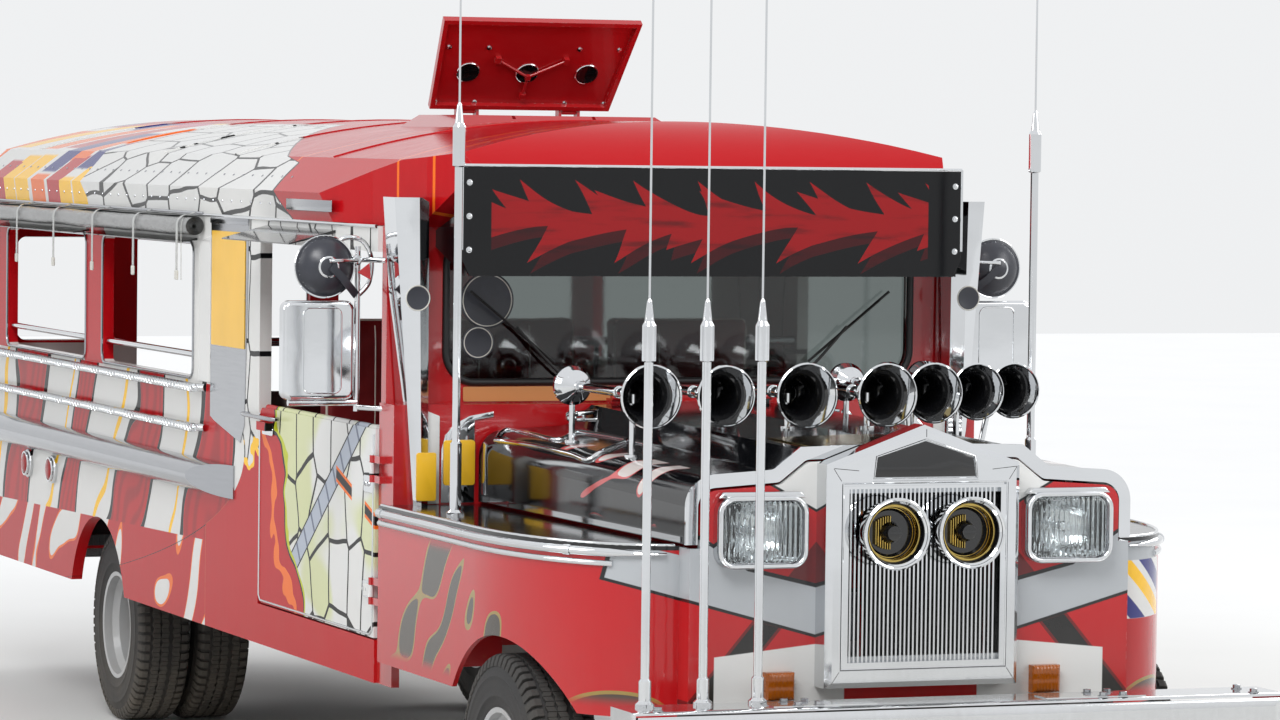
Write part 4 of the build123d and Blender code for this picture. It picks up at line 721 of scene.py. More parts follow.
def nose_paint():
    """Red with a kinked grey band, dark slants, and white low and beside the grille."""
    c = paints()
    made, r = new_material("nose_paint")
    x, y, z = r.split(r.object_place())
    across = abs(x)
    slant = abs(r.line(across, z, -1.158, 1.316))
    top = r.maths("MINIMUM", r.line(across, z, 0.24, 0.847), r.line(across, z, 0.63, 0.656))
    low = r.line(across, z, 0.276, 0.708)
    skirt = (1 - r.above(r.line(across, z, -0.1, 0.79), 0.0)) * r.between(across, 0.2, 0.585)
    corner = r.line(across, z, 0.542, 0.974)
    base = r.layers(
        c.red, (r.smooth(slant, 0.062, 0.06), c.deep_red),
        (r.without(r.above(low, -0.009), r.above(top, 0.012)), c.line),
        (r.without(r.above(low, 0.0), r.above(top, 0.0)), c.silver),
        (r.without(r.smooth(slant, 0.05, 0.047), r.above(low, -0.009)), c.line), (skirt, c.white),
        (r.above(corner, -0.008) * r.between(across, 0.2, 0.508), c.line),
        (r.above(corner, 0.0) * r.between(across, 0.2, 0.5), c.white))
    paint_finish(r, base, dust=0.25, wear=0.35, coat=0.15)
    return made


def fender_paint():
    """Black mirror gloss on the shelf, gold-edged curls on the red apron."""
    c = paints()
    made, r = new_material("fender_paint")
    x, y, z = r.split(r.object_place())
    across, reach = abs(x), y + z * 0.25
    curls = r.group("Curls", Vector=r.join(y - across, z, 0.0), Scale=2.7, Bend=9.0, Fill=0.42)
    apron = r.between(z, 0.6, 0.955, 0.02)
    over = r.above(r.line(across, z, 0.24, 0.847), 0.0)
    front = r.without(r.above(r.line(across, z, 0.276, 0.708), 0.0), over)
    rim = r.without(r.above(r.line(across, z, 0.276, 0.699), 0.0), over)
    patch = r.without(r.above(x, 0.0), r.above(y, 0.2, 0.002)) * r.between(z, 0.8, 0.965)
    step = r.maths("FRACT", r.line(across, z, -0.9, 0.0) * 5.2)
    base = r.layers(
        c.red, (curls["Outline"] * apron, c.gold), (curls["Core"] * apron, tint(66, 60, 52)),
        (r.without(r.either(rim, front), r.above(reach, 0.412, 0.002)), c.line),
        (r.without(front, r.above(reach, 0.4, 0.002)), c.silver), (patch, c.white),
        (patch * r.between(step, 0.1, 0.36, 0.01), c.yellow),
        (patch * r.between(step, 0.5, 0.8, 0.01), c.navy), (r.above(z, 1.018), c.black))
    paint_finish(r, base, dust=0.2, wear=0.4, roughness=0.08, coat=0.12, fade=0.01)
    return made


def cell_paint(r, u, v, scale, ground):
    """Outlined cells, each in its own slight shade of the ground."""
    cells = r.group("Cell lines", Vector=r.join(u, v, 0.0), Scale=scale, Width=0.034, Warp=0.05)
    tone = r.mix(cells["Cell"] * 0.14, ground, (0.62, 0.66, 0.72))
    return r.mix(cells["Line"], tone, paints().line)


def block_colours(r, u, v, scale):
    """Slanted blocks in the bright sign-painter's colours, with pale outlines."""
    c = paints()
    place = r.join((u + v * 0.5) * scale, v * (scale * 0.55), 0.0)
    cells = r.add("ShaderNodeTexVoronoi", {"Vector": place, "Scale": 1.0, "Randomness": 0.45},
                  distance="CHEBYCHEV", feature="F1")
    ramp = r.add("ShaderNodeValToRGB", {0: r.split(cells.outputs["Color"])[0]})
    ramp.color_ramp.interpolation = "CONSTANT"
    stops = [(0.0, c.red), (0.2, c.navy), (0.38, c.orange), (0.55, c.magenta), (0.7, c.yellow),
             (0.86, c.white)]
    elements = ramp.color_ramp.elements
    while len(elements) < len(stops):
        elements.new(0.5)
    for element, (position, three) in zip(elements, stops):
        element.position = position
        element.color = (*three, 1)
    near = r.smooth(cells.outputs["Distance"], 0.44, 0.49)
    return r.mix(near, ramp.outputs[0], c.white)


def side_paint():
    """The long sides: cell-lined white by the door, red posts, slanted panels below the windows."""
    c = paints()
    made, r = new_material("side_paint")
    x, y, z = r.split(r.object_place())
    lean = y + z * 0.42 + r.noise(r.join(y, z, 9.0), 1.1, 2.0) * 0.9
    step = r.maths("FRACT", lean / 0.86)
    folds = r.smooth(r.maths("SINE", lean * 78.0), -0.6, 1.0)
    panel = r.layers(
        c.white, (r.between(step, 0.04, 0.40, 0.002), c.red), (r.between(step, 0.40, 0.44, 0.002), c.line),
        (r.between(step, 0.0, 0.04, 0.002), c.line), (r.between(step, 0.56, 0.60, 0.002), c.yellow),
        (folds * r.between(step, 0.05, 0.4) * 0.4, c.deep_red))
    curls = r.group("Curls", Vector=r.join(y, z, 0.0), Scale=1.9, Bend=8.0, Fill=0.5)
    low = r.layers(c.red, (curls["Outline"], c.orange), (curls["Core"], c.white),
                   (r.above(z + y * 0.02, 0.84), panel))
    bulge = (z - 1.09) / 0.2
    front_edge = y - r.maths("MULTIPLY_ADD", bulge * bulge, 0.25, 3.19)
    low_part = 1 - r.above(z, 1.295)
    rear = r.either(r.above(y, 3.64), r.above(front_edge, 0.0) * low_part)
    posts = r.above(z, 1.3) * rear
    tongue = r.noise(r.join(y, z, 3.0), 5.0, 2.0) * 0.5 + 0.88 - z
    base = r.layers(
        cell_paint(r, y, z * 0.7, 5.6, c.white), (rear, low),
        (r.between(front_edge, -0.012, 0.0) * low_part, c.line), (posts, c.white),
        (posts * r.either(r.between(y, 4.99, 5.25), r.above(y, 6.42)), c.red),
        (r.without(r.above(tongue, -0.03), rear), c.yellow), (r.without(r.above(tongue, 0.0), rear), c.red))
    paint_finish(r, base, dust=0.16, wear=0.35, roughness=0.14, coat=0.0, fade=0.015, specular=0.07)
    return made


def roof_paint():
    """Red front and crown with thin pinstripes, cell-lined white slopes, colour blocks behind."""
    c = paints()
    made, r = new_material("roof_paint")
    x, y, z = r.split(r.object_place())
    across = abs(x)
    white = cell_paint(r, y * 0.62 + z * 0.5, z - across * 0.9, 5.4, c.white)
    side = r.mix(r.above(y - z * 0.82, 3.64), white, block_colours(r, y, z - across * 0.6, 4.6))
    # The pattern of the slopes starts at a line that bends forward low down and back higher up
    drop, rise = r.either(2.03 - z, 0.0), r.either(z - 2.045, 0.0)
    rounded = y - (2.86 - drop * drop * 7.4 + rise * 10.0)
    on_side = 1 - r.above(z, 2.172, 0.003)
    stripes = [(r.smooth(abs(r.line(x, y, slope, level)), 0.007, 0.0055), c.orange)
               for slope, level in ((0.22, 1.86), (-0.3, 2.62), (0.12, 1.98))]
    base = r.layers(c.red, *stripes, (r.above(rounded, -0.016, 0.003) * on_side, c.line),
                    (r.above(rounded, 0.0, 0.003) * on_side, side))
    paint_finish(r, base, dust=0.0, wear=0.25, roughness=0.14, coat=0.0, fade=0.015, specular=0.12)
    return made


def hood_paint():
    """Black mirror gloss with pale pinstriped curls along the sides."""
    made, r = new_material("hood_paint")
    x, y, z = r.split(r.object_place())
    curls = r.group("Curls", Vector=r.join(y, z * 1.7, 5.0), Scale=2.6, Bend=8.0, Fill=0.46)
    side = r.between(z, 1.075, 1.25, 0.012) * r.between(y, 0.22, 1.25, 0.02) * r.above(abs(x), 0.55)
    base = r.layers(paints().black, (curls["Outline"] * side, tint(206, 92, 92)),
                    (curls["Core"] * side, tint(214, 206, 202)))
    paint_finish(r, base, dust=0.12, wear=0.25, roughness=0.05, coat=0.15, fade=0.004, specular=0.4)
    return made


def visor_paint():
    """Black gloss with one jagged band of dark red flame over its darker drop shade."""
    black = paints().black
    made, r = new_material("visor_paint")
    x, y, z = r.split(r.object_place())
    warp = (r.noise(r.join(x, z, 0.0), 2.6, 1.0) - 0.5) * 0.1

    def tongues(move_x, move_z, grow):
        """The band, with sharp tips that lean back above and below."""
        place, level = x + warp + move_x, z - move_z

        def edge(pitch, lean, start, height):
            away = 1 - r.maths("FRACT", (place + level * lean) / pitch + (start + 6.0))
            return away * away * height

        upper = r.either(edge(0.19, 0.5, 0.1, 0.105), edge(0.33, 0.8, 0.4, 0.075)) + (1.905 + grow)
        lower = 1.872 - grow - r.either(edge(0.27, -0.6, 0.2, 0.11), edge(0.41, -0.3, 0.7, 0.07))
        return r.without(r.above(level - lower, 0.0), r.above(level - upper, 0.0))

    inside = r.between(x, -0.72, 0.70, 0.002)
    streak = r.smooth(r.noise(r.join(x * 2.0, z * 16.0, 0.0), 1.6, 4.0), 0.5, 0.7)
    base = r.layers(black, (tongues(-0.02, -0.02, 0.012) * inside, tint(62, 6, 12)),
                    (tongues(0.0, 0.0, 0.0) * inside, tint(150, 12, 18)), (streak * 0.55, black))
    paint_finish(r, base, dust=0.0, wear=0.2, roughness=0.06, coat=0.0, fade=0.004, specular=0.32)
    return made


def door_paint():
    """White cells shaded yellow-green, a slanted ladder band, and a red tongue from behind."""
    c = paints()
    made, r = new_material("door_paint")
    x, y, z = r.split(r.object_place())
    shaded = r.smooth(r.noise(r.join(y, z, 4.0), 2.8, 1.0), 0.47, 0.56)
    ground = r.mix(shaded * 0.55, c.white, tint(198, 206, 92))
    ladder = r.line(y, z, -0.702, 2.585)
    rails = r.between(ladder, 0.0, 0.08)
    rung = r.maths("FRACT", r.line(z, y, 0.7, 0.0) * 9.0)
    stroke = abs(r.line(y, z, 0.3065, 0.419))
    part = r.either(r.between(y, 2.03, 2.19), r.between(y, 1.79, 1.90))
    reach = y - z * 0.5 + r.noise(r.join(y, z, 7.0), 3.2, 2.0) * 0.5
    base = r.layers(
        cell_paint(r, y, z * 0.75, 5.6, ground), (r.between(ladder, -0.008, 0.088), c.line),
        (rails, tint(176, 184, 198)), (rails * r.between(rung, 0.0, 0.16), tint(112, 120, 138)),
        (r.smooth(stroke, 0.026, 0.024) * part, c.orange), (r.smooth(stroke, 0.015, 0.013) * part, c.line),
        (r.above(reach, 2.48), tint(190, 196, 44)), (r.above(reach, 2.5), c.line),
        (r.above(reach, 2.515), c.red), (r.between(reach, 2.62, 2.65), c.orange))
    paint_finish(r, base, dust=0.16, wear=0.4, roughness=0.14, coat=0.0, fade=0.015, specular=0.07)
    return made


def rubber(name, three, roughness, tread=False):
    made, r = new_material(name)
    place = r.object_place()
    dusty = r.group("Road dust", Low=0.0, High=0.75, Amount=0.75)["Mask"]
    fine = r.noise(place, 180.0, 4.0)
    base = r.mix(r.noise(place, 12.0, 3.0), three, [v * 1.6 for v in three])
    r.shade("Base Color", r.mix(dusty * (0.55 if tread else 0.35), base, DUST))
    r.shade("Roughness", r.scaled(fine, roughness - 0.1, roughness + 0.12))
    r.bump(fine, 0.25, 0.0008)
    return made


def moulded_plastic(name, three, roughness=0.42, scale=520.0):
    made, r = new_material(name)
    grain = r.group("Vinyl grain", Scale=scale)
    dusty = r.group("Road dust", Low=0.4, High=1.6, Amount=0.3)["Mask"]
    base = r.mix(grain["Wear"], three, [v * 1.35 for v in three])
    r.shade("Base Color", r.mix(dusty * 0.4, base, DUST))
    r.shade("Roughness", r.scaled(grain["Wear"], roughness, roughness + 0.12))
    r.bump(grain["Height"], 0.2, 0.0005)
    return made


def vinyl(name, three):
    """Upholstery vinyl: pebble grain, rubbed paler where it is sat on."""
    made, r = new_material(name)
    grain = r.group("Vinyl grain", Scale=330.0)
    base = r.mix(grain["Wear"] * 0.5, three, [min(1, v * 1.7 + 0.01) for v in three])
    r.shade("Base Color", base)
    r.shade("Roughness", r.scaled(grain["Wear"], 0.36, 0.55))
    r.shade("Sheen Weight", 0.06)
    r.bump(grain["Height"], 0.35, 0.0007)
    return made


def glass_like(name, three, roughness=0.015, transmission=1.0, ribs=0.0):
    """Glass, lamp glass or clear film, with smears and, where wanted, moulded ribs."""
    made, r = new_material(name)
    place = r.object_place()
    smear = r.noise(place, 8.0, 5.0, 0.7)
    r.shade("Transmission Weight", transmission)
    r.shade("IOR", 1.5)
    r.shade("Base Color", r.mix(r.scaled(smear, 0.0, 0.25), three, [v * 0.85 for v in three]))
    r.shade("Roughness", r.scaled(smear, roughness, roughness + 0.05))
    if ribs:
        x, y, z = r.split(place)
        wave = r.maths("SINE", x * ribs)
        cross = r.maths("SINE", z * (ribs * 0.35))
        r.bump(wave + cross * 0.5, 0.5, 0.0015)
    else:
        r.bump(smear, 0.05, 0.002)
    return made


def film_material():
    """Clear curtain film, greyed and creased where it is rolled up."""
    made, r = new_material("curtain_film")
    place = r.object_place()
    x, y, z = r.split(place)
    creases = r.noise(r.join(x * 3.0, y * 2.0, z * 9.0), 7.0, 5.0, 0.7)
    base = r.mix(creases, tint(118, 118, 116), tint(190, 192, 192))
    r.shade("Base Color", base)
    r.shade("Roughness", r.scaled(creases, 0.08, 0.3))
    r.shade("Transmission Weight", 0.35)
    r.shade("IOR", 1.45)
    r.bump(creases, 0.6, 0.006)
    return made


def patched_board(name, three):
    """A blank painted board, a little faded, with worn edges."""
    made, r = new_material(name)
    shade = r.mix(r.noise(r.object_place(), 5.0, 4.0), three, [v * 0.8 for v in three])
    paint_finish(r, shade, dust=0.1, wear=0.7, roughness=0.3, coat=0.1)
    return made


def checker_floor():
    """Grey floor paint, trodden through to metal, with a raised diamond pattern."""
    made, r = new_material("floor_paint")
    place = r.object_place()
    x, y, z = r.split(place)
    u = r.maths("SINE", (x + y) * 150.0)
    v = r.maths("SINE", (x - y) * 150.0)
    studs = r.smooth(u * v, 0.55, 0.8)
    trodden = r.smooth(r.noise(place, 4.0, 6.0, 0.7), 0.5, 0.72)
    base = r.mix(trodden * 0.6, tint(92, 94, 96), tint(140, 136, 130))
    r.shade("Base Color", r.mix(studs * 0.3, base, BARE_METAL))
    r.shade("Roughness", r.scaled(trodden, 0.45, 0.7))
    r.bump(studs, 0.7, 0.002)
    return made


def mirror_face():
    made, r = new_material("mirror_glass")
    smear = r.noise(r.object_place(), 12.0, 4.0)
    r.shade("Metallic", 1.0)
    r.shade("Base Color", r.mix(smear, tint(206, 210, 212), tint(190, 195, 198)))
    r.shade("Roughness", r.scaled(smear, 0.01, 0.06))
    return made


M = {}


def make_materials():
    c = paints()
    M.update(
        chrome=metal("chrome_plate", tint(222, 224, 226), 0.045, 0.08, (3.0, 3.0, 10.0), 0.3),
        stainless=metal("stainless_sheet", tint(172, 174, 178), 0.12, 0.22, dust=0.2),
        brass=metal("lamp_bowl", tint(196, 170, 96), 0.12, 0.2, (20.0, 20.0, 20.0), 0.0),
        frame=plain_paint("frame_black", tint(24, 24, 25), dust=0.8, wear=0.7, roughness=0.4, coat=0.0),
        iron=metal("cast_iron", tint(84, 82, 80), 0.5, 0.8, (60.0, 60.0, 60.0), 0.7, rust=0.6),
        pipe=metal("pipe_steel", tint(126, 118, 110), 0.38, 0.3, dust=0.6, rust=0.75),
        red=plain_paint("red_paint", c.red),
        black=plain_paint("black_paint", c.black, roughness=0.07, coat=0.6, fade=0.006),
        white=plain_paint("white_paint", c.white),
        inner=plain_paint("inner_red", c.deep_red, dust=0.1),
        silver=plain_paint("wheel_silver", tint(176, 178, 180), dust=0.7, dust_top=0.8, wear=0.6,
                           roughness=0.25),
        nose=nose_paint(), fender=fender_paint(), side=side_paint(), roof=roof_paint(), hood=hood_paint(),
        visor=visor_paint(), door=door_paint(), floor=checker_floor(),
        glass=glass_like("screen_glass", tint(104, 112, 110)),
        lens=glass_like("headlamp_glass", tint(236, 240, 240), ribs=420.0),
        amber=glass_like("amber_lens", tint(226, 118, 20), 0.05, 0.55, 600.0),
        ruby=glass_like("ruby_lens", tint(186, 16, 18), 0.05, 0.5, 600.0),
        plastic=moulded_plastic("black_plastic", tint(26, 26, 28)),
        rubber=rubber("tyre_rubber", tint(30, 30, 31), 0.72),
        tread=rubber("tread_rubber", tint(46, 45, 44), 0.82, tread=True),
        seal=rubber("seal_rubber", tint(16, 16, 17), 0.5),
        vinyl=vinyl("seat_vinyl", c.vinyl), piping=vinyl("seat_piping", tint(214, 208, 196)),
        film=film_material(), strap=glass_like("clear_strap", tint(214, 216, 214), 0.12, 0.5),
        yellow=patched_board("yellow_board", c.yellow),
        orange=patched_board("orange_board", tint(206, 142, 84)),
        mirror=mirror_face(), disc=moulded_plastic("blank_disc", tint(50, 52, 60), 0.3, 700.0),
        pale=moulded_plastic("pale_plastic", tint(206, 204, 196), 0.4, 700.0),
    )


NODE_PAINT = {
    "frame": ["chassis_frame", "front_axle", "rear_axle", "leaf_springs", "radiator", "fuel_tank",
              "knuckle_left", "knuckle_right"],
    "iron": ["engine_block"], "pipe": ["exhaust"],
    "chrome": ["front_bumper", "lamp_housings", "grille_shell", "grille_bars", "hood_mouldings", "air_horns",
               "side_rails", "mirrors", "aerials", "pillar_wings"],
    "stainless": ["partition", "rub_rails", "rear_step"],
    "nose": ["nose_panel"], "fender": ["front_fenders"],
    "side": ["side_wall_left", "side_wall_right", "rear_wall"],
    "red": ["cowl", "windshield_frame", "roof_coaming", "roof_hatch"], "roof": ["roof"], "hood": ["hood"],
    "visor": ["sun_visor"], "black": ["drip_blades"], "door": ["door_left", "door_right"],
    "floor": ["floor"], "inner": ["seat_frames"], "lens": ["headlamp_lenses"], "glass": ["windshield_glass"],
    "amber": ["turn_lamps"], "ruby": ["tail_lamps"], "plastic": ["dashboard", "steering_wheel"],
    "vinyl": ["cushions"], "film": ["rain_rolls"],
    "rubber": ["front_tyre_left", "front_tyre_right", "rear_tyres_left", "rear_tyres_right"],
    "silver": ["front_wheel_left", "front_wheel_right", "rear_wheels_left", "rear_wheels_right"],
}


class JEEPNEY_OT_paint(bpy.types.Operator):
    """Gives every CAD node its finish"""
    bl_idname = "jeepney.paint"
    bl_label = "Paint the body"

    def execute(self, context):
        make_materials()
        painted = set()
        for finish, names in NODE_PAINT.items():
            for name in names:
                if name not in NODES:
                    raise RuntimeError(f"no CAD node {name}")
                NODES[name].data.materials.clear()
                NODES[name].data.materials.append(M[finish])
                painted.add(name)
        if painted != set(NODES):
            raise RuntimeError(f"unpainted nodes: {sorted(set(NODES) - painted)}")
        return {"FINISHED"}


class JEEPNEY_OT_stage(bpy.types.Operator):
    """Sets the pale floor, the soft lights and the camera"""
    bl_idname = "jeepney.stage"
    bl_label = "Stage and camera"

    def execute(self, context):
        scene = context.scene
        scene.view_settings.view_transform = "Standard"
        clear_selection()
        bpy.ops.mesh.primitive_plane_add(size=70, location=(0, 0, 0))
        floor = named("stage_floor")
        made, r = new_material("stage_floor")
        grain = r.noise(r.object_place(), 0.9, 5.0)
        x, y, _ = r.split(r.object_place())
        reach = r.maths("SQRT", x * x + y * y)
        away = r.smooth(reach, 5.5, 13.0) * r.seen_directly()
        ground = r.mix(r.scaled(grain, 0.0, 0.4), paints().floor, [v * 0.93 for v in paints().floor])
        r.shade("Base Color", r.mix(away, ground, (0, 0, 0, 1)))
        r.shade("Emission Color", (0.86, 0.87, 0.88, 1))
        r.shade("Emission Strength", away)
        r.shade("Roughness", r.scaled(grain, 0.55, 0.75))
        floor.data.materials.append(made)

        world = bpy.data.worlds.new("studio")
        scene.world = world
        world.use_nodes = True
        r = Recipe(world.node_tree)
        background = world.node_tree.nodes["Background"]
        direction = r.add("ShaderNodeTexCoord").outputs["Generated"]
        height = r.split(direction)[2]
        sky = r.mix(r.smooth(height, -0.1, 0.7), (0.86, 0.87, 0.88, 1), (0.97, 0.98, 1.0, 1))
        r.feed(background.inputs["Color"], sky)
        r.feed(background.inputs["Strength"], r.scaled(r.seen_directly(), 0.5, 1.0))

        def lamp(name, place, target, size, power):
            data = bpy.data.lights.new(name, "AREA")
            data.size = size
            data.energy = power
            o = linked(name, data)
            o.location = place
            o.rotation_euler = (Vector(target) - Vector(place)).to_track_quat("-Z", "Y").to_euler()

        lamp("key_lamp", (-5.5, -9.0, 9.5), (0, -1.5, 1.0), 5.0, 900)
        lamp("fill_lamp", (8.0, -7.0, 6.0), (0, -1.0, 1.0), 6.0, 380)
        lamp("back_lamp", (10.0, 7.0, 7.0), (0, 1.0, 1.2), 5.0, 560)
        lamp("side_lamp", (-10.0, 1.0, 5.5), (0, 0.5, 1.2), 5.0, 260)

        # The camera that was fitted to the photograph
        data = bpy.data.cameras.new("photo_camera")
        data.sensor_width = 36.0
        data.lens = 140.6
        data.clip_end = 200.0
        camera = linked("photo_camera", data)
        forward = Vector((0.3583, 0.9326, -0.0442)).normalized()
        right = Vector((0.9336, -0.3581, 0.0123))
        up = right.cross(forward).normalized()
        right = forward.cross(up).normalized()
        turn = Matrix((right, up, -forward)).transposed().to_4x4()
        camera.matrix_world = Matrix.Translation((-5.628, -15.856, 2.135)) @ turn
        scene.camera = camera
        return {"FINISHED"}


# Tyres and wheel fasteners

AXLES = {"front": 600, "rear": 5050}
AXLE_Z = 345
# Middle of each tyre's width, by node
TYRES = {"front_tyre_left": (890,), "front_tyre_right": (-890,),
         "rear_tyres_left": (578, 800), "rear_tyres_right": (-578, -800)}


def ringed(o, count, centre, axis):
    """Copies of a piece round an axis through a point in metres, as one mesh."""
    clear_selection()
    bpy.ops.object.empty_add(location=centre)
    turn = bpy.context.object
    step = Matrix.Rotation(2 * math.pi / count, 4, Vector(axis))
    o.data.transform(Matrix.Translation(-centre))
    turn.matrix_world = step
    modified(o, "ARRAY", count=count, use_relative_offset=False, use_object_offset=True, offset_object=turn)
    deleted(turn)
    o.data.transform(Matrix.Translation(centre))
    return o


def tyre_body(radius, depth):
    """Sidewalls with raised rings, rounded shoulders and the floor of the tread."""
    floor = radius - depth
    half = [(-74, 188), (-84, 188), (-91, 196), (-93, 206), (-96.5, 222), (-98.4, 224), (-98.8, 229),
            (-97.6, 231), (-99.2, 246), (-99.4, 262), (-98.4, 276), (-99.3, 278), (-99, 282), (-97, 284),
            (-94.5, 302), (-90, 316), (-82, floor - 8), (-70, floor - 2), (-40, floor)]
    lining = [(66, 205), (84, 240), (84, 290), (60, floor - 14), (0, floor - 12)]
    outline = half + [(-a, r) for a, r in reversed(half)]
    outline += lining + [(-a, r) for a, r in reversed(lining[:-1])]
    return lathe("tyre_body", outline, at(0, 0, radius), (1, 0, 0), 120)


def tread_pitch(radius, depth, pitch):
    """One step of the tread at the tyre's top: a lug on each shoulder and three zigzag ribs."""
    low, top = 2 * radius - depth - 4, 2 * radius - 0.5
    lug = [(56, low), (58, top), (78, top - 1.2), (88, top - 7), (95.5, top - 30), (96, top - 36),
           (92, top - 38), (84, low - 6)]
    pieces = []
    for side in SIDES:
        shape = [(side * x, z) for x, z in lug]
        pieces.append(plate("lug", shape, 1, -pitch * 0.34, pitch * 0.3, 0.0012, 1))
    for middle, lean in ((-37, 5), (0, -5), (37, 5)):
        for end in (-1, 1):
            y0, y1 = (0.8, pitch / 2 - 0.7) if end > 0 else (-pitch / 2 + 0.7, -0.8)
            bent = {y0: lean if end > 0 else 0, y1: 0 if end > 0 else lean}
            quad = [(middle - 13 + bent[y0], y0), (middle + 13 + bent[y0], y0),
                    (middle + 13 + bent[y1], y1), (middle - 13 + bent[y1], y1)]
            pieces.append(plate("rib", quad, 2, low, top, 0.0008, 1))
    return joined("tread", pieces)


class JEEPNEY_OT_tyres(bpy.types.Operator):
    """Six tyres with shoulder lugs and zigzag ribs, in place of the plain ones"""
    bl_idname = "jeepney.tyres"
    bl_label = "Tyres"

    def execute(self, context):
        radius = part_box("front_tyre_left")[1].z * 500
        depth = sizes().tread_depth * 1000
        lugs = sizes().lugs
        body = tyre_body(radius, depth)
        tread = tread_pitch(radius, depth, 2 * math.pi * radius / lugs)
        ringed(tread, lugs, at(0, 0, radius), (1, 0, 0))
        polish(body, 40)
        polish(tread, 25)
        body.data.materials.append(M["rubber"])
        tread.data.materials.append(M["tread"])
        pattern = joined("tyre_pattern", [body, tread])
        for node, places in TYRES.items():
            axle = AXLES[node.split("_")[0]]
            made = [copied(pattern, node, shifted(x, axle)) for x in places]
            tyre = joined(node + "_treaded", made)
            side = "left" if "left" in node else "right"
            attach(tyre, f"{side}_front_wheel" if "front" in node else f"{side}_rear_wheels")
            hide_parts(node)
        deleted(pattern)
        return {"FINISHED"}


class JEEPNEY_OT_wheel_nuts(bpy.types.Operator):
    """Nuts round each hub cap, a valve in each front rim and the hub cap's edge ring"""
    bl_idname = "jeepney.wheel_nuts"
    bl_label = "Wheel nuts"

    def execute(self, context):
        size = sizes().bolt_head
        for kind, face, ring, edge in (("front", 900.5, 78, [(0, 71), (5, 72), (7, 70), (5, 66), (0, 66)]),
                                       ("rear", 697.5, 91, [(8, 79), (12, 80), (14, 78), (12, 74), (8, 74)])):
            axle = AXLES[kind]
            nut = hex_bolt("nut", at(face, axle, AXLE_Z + ring), (1, 0, 0), size * 0.8, 0.016)
            ringed(nut, 8, at(face, axle, AXLE_Z), (1, 0, 0))
            pieces = [nut, lathe("cap_ring", edge, at(face, axle, AXLE_Z), (1, 0, 0), 40)]
            if kind == "front":
                root, tip = at(face - 22, axle, AXLE_Z + 148), at(face + 20, axle, AXLE_Z + 146)
                pieces.append(bar("valve", root, tip, 0.004, 10))
            left = joined(f"{kind}_wheel_nuts_left", pieces)
            right = copied(left, f"{kind}_wheel_nuts_right", MIRROR)
            for side, o in (("left", left), ("right", right)):
                fit(o, f"{side}_front_wheel" if kind == "front" else f"{side}_rear_wheels",
                    "stainless", "wheel_silver")
        return {"FINISHED"}


# Surface finding: places on the CAD skin that trim follows


def on_top(node, x, y, lift=0.0):
    """The point of a node's upper skin over a place, lifted by some millimetres."""
    place, normal = struck(NODES[node], at(x, y, 3500), Vector((0, 0, -1)))
    return place + normal * (lift / 1000)


def curved(points, steps=8):
    """A smooth line of points through the given ones."""
    ends = [points[0]] + list(points) + [points[-1]]
    line = []
    for i in range(1, len(ends) - 2):
        a, b, c, d = (Vector(p) for p in ends[i - 1:i + 3])
        for k in range(steps):
            t = k / steps
            line.append((b * 2 + (c - a) * t + (a * 2 - b * 5 + c * 4 - d) * t * t
                         + (b * 3 - a - c * 3 + d) * t ** 3) / 2)
    return line + [Vector(points[-1])]


# Hood trim, on the vehicle's right side in plan, copied to the left
UPPER_MOULDING = ((-664, 1550), (-609, 1600), (-598, 1420), (-596, 1220), (-535, 1290), (-470, 1390),
                  (-448, 1310), (-430, 1130), (-428, 900))
LOWER_MOULDING = ((-668, 1545), (-652, 1240), (-647, 960), (-644, 790), (-560, 880), (-470, 1000),
                  (-432, 1060), (-428, 940))
HORNS = ((-575, 500, 88), (-348, 500, 84), (-100, 500, 90), (148, 500, 88), (336, 590, 84), (500, 650, 80),
         (640, 700, 78))
HORN_Z = 1412


class JEEPNEY_OT_hood_trim(bpy.types.Operator):
    """Chrome mouldings, the top plate and the latches of the hood"""
    bl_idname = "jeepney.hood_trim"
    bl_label = "Hood trim"

    def execute(self, context):
        rods = []
        for i, line in enumerate((UPPER_MOULDING, LOWER_MOULDING)):
            flat = curved([(x, y, 0) for x, y in line], 6)
            rods.append(pipe(f"hood_rod_{i}", [on_top("hood", p.x, p.y, 2) for p in flat], 0.008))
        edge = [(1572, 1062), (1600, 1062), (1600, 1180), (1588, 1222), (1566, 1214), (1574, 1178)]
        rods.append(plate("hood_rear_band", edge, 0, -694, -687, 0.002))
        level = on_top("hood", -372, 1500).z * 1000
        base = block("latch_base", -440, -372, 1470, 1530, level - 6, level + 4, 0.003)
        knob = [(0, 0), (0, 15), (6, 18), (16, 18), (22, 12), (24, 0)]
        rods += [base,
                 bar("latch_arm", at(-430, 1500, level + 16), at(-330, 1560, level + 20), 0.008, 16, 0.002),
                 lathe("latch_knob", knob, at(-442, 1496, level + 4), (-0.7, -0.3, 0.6), 20),
                 bar("latch_post", at(-400, 1518, level - 4), at(-400, 1518, level + 22), 0.007, 14)]
        for o in both_sides(rods):
            fit(o, "hood_lid", "chrome")

        clear_selection()
        bpy.ops.mesh.primitive_grid_add(x_subdivisions=40, y_subdivisions=24, size=1)
        bpy.ops.transform.resize(value=(0.56, 0.34, 1))
        bpy.ops.transform.translate(value=at(0, 190, 1310))
        top = named("hood_top_plate")
        for vertex in top.data.vertices:
            place = vertex.co
            vertex.co.z = on_top("hood", place.x * 1000, (place.y + NOSE_TO_MIDDLE) * 1000).z + 0.001
        modified(top, "SOLIDIFY", thickness=0.0025, offset=1)
        fit(soften(top, 0.001, 1), "hood_lid", "brass")
        return {"FINISHED"}


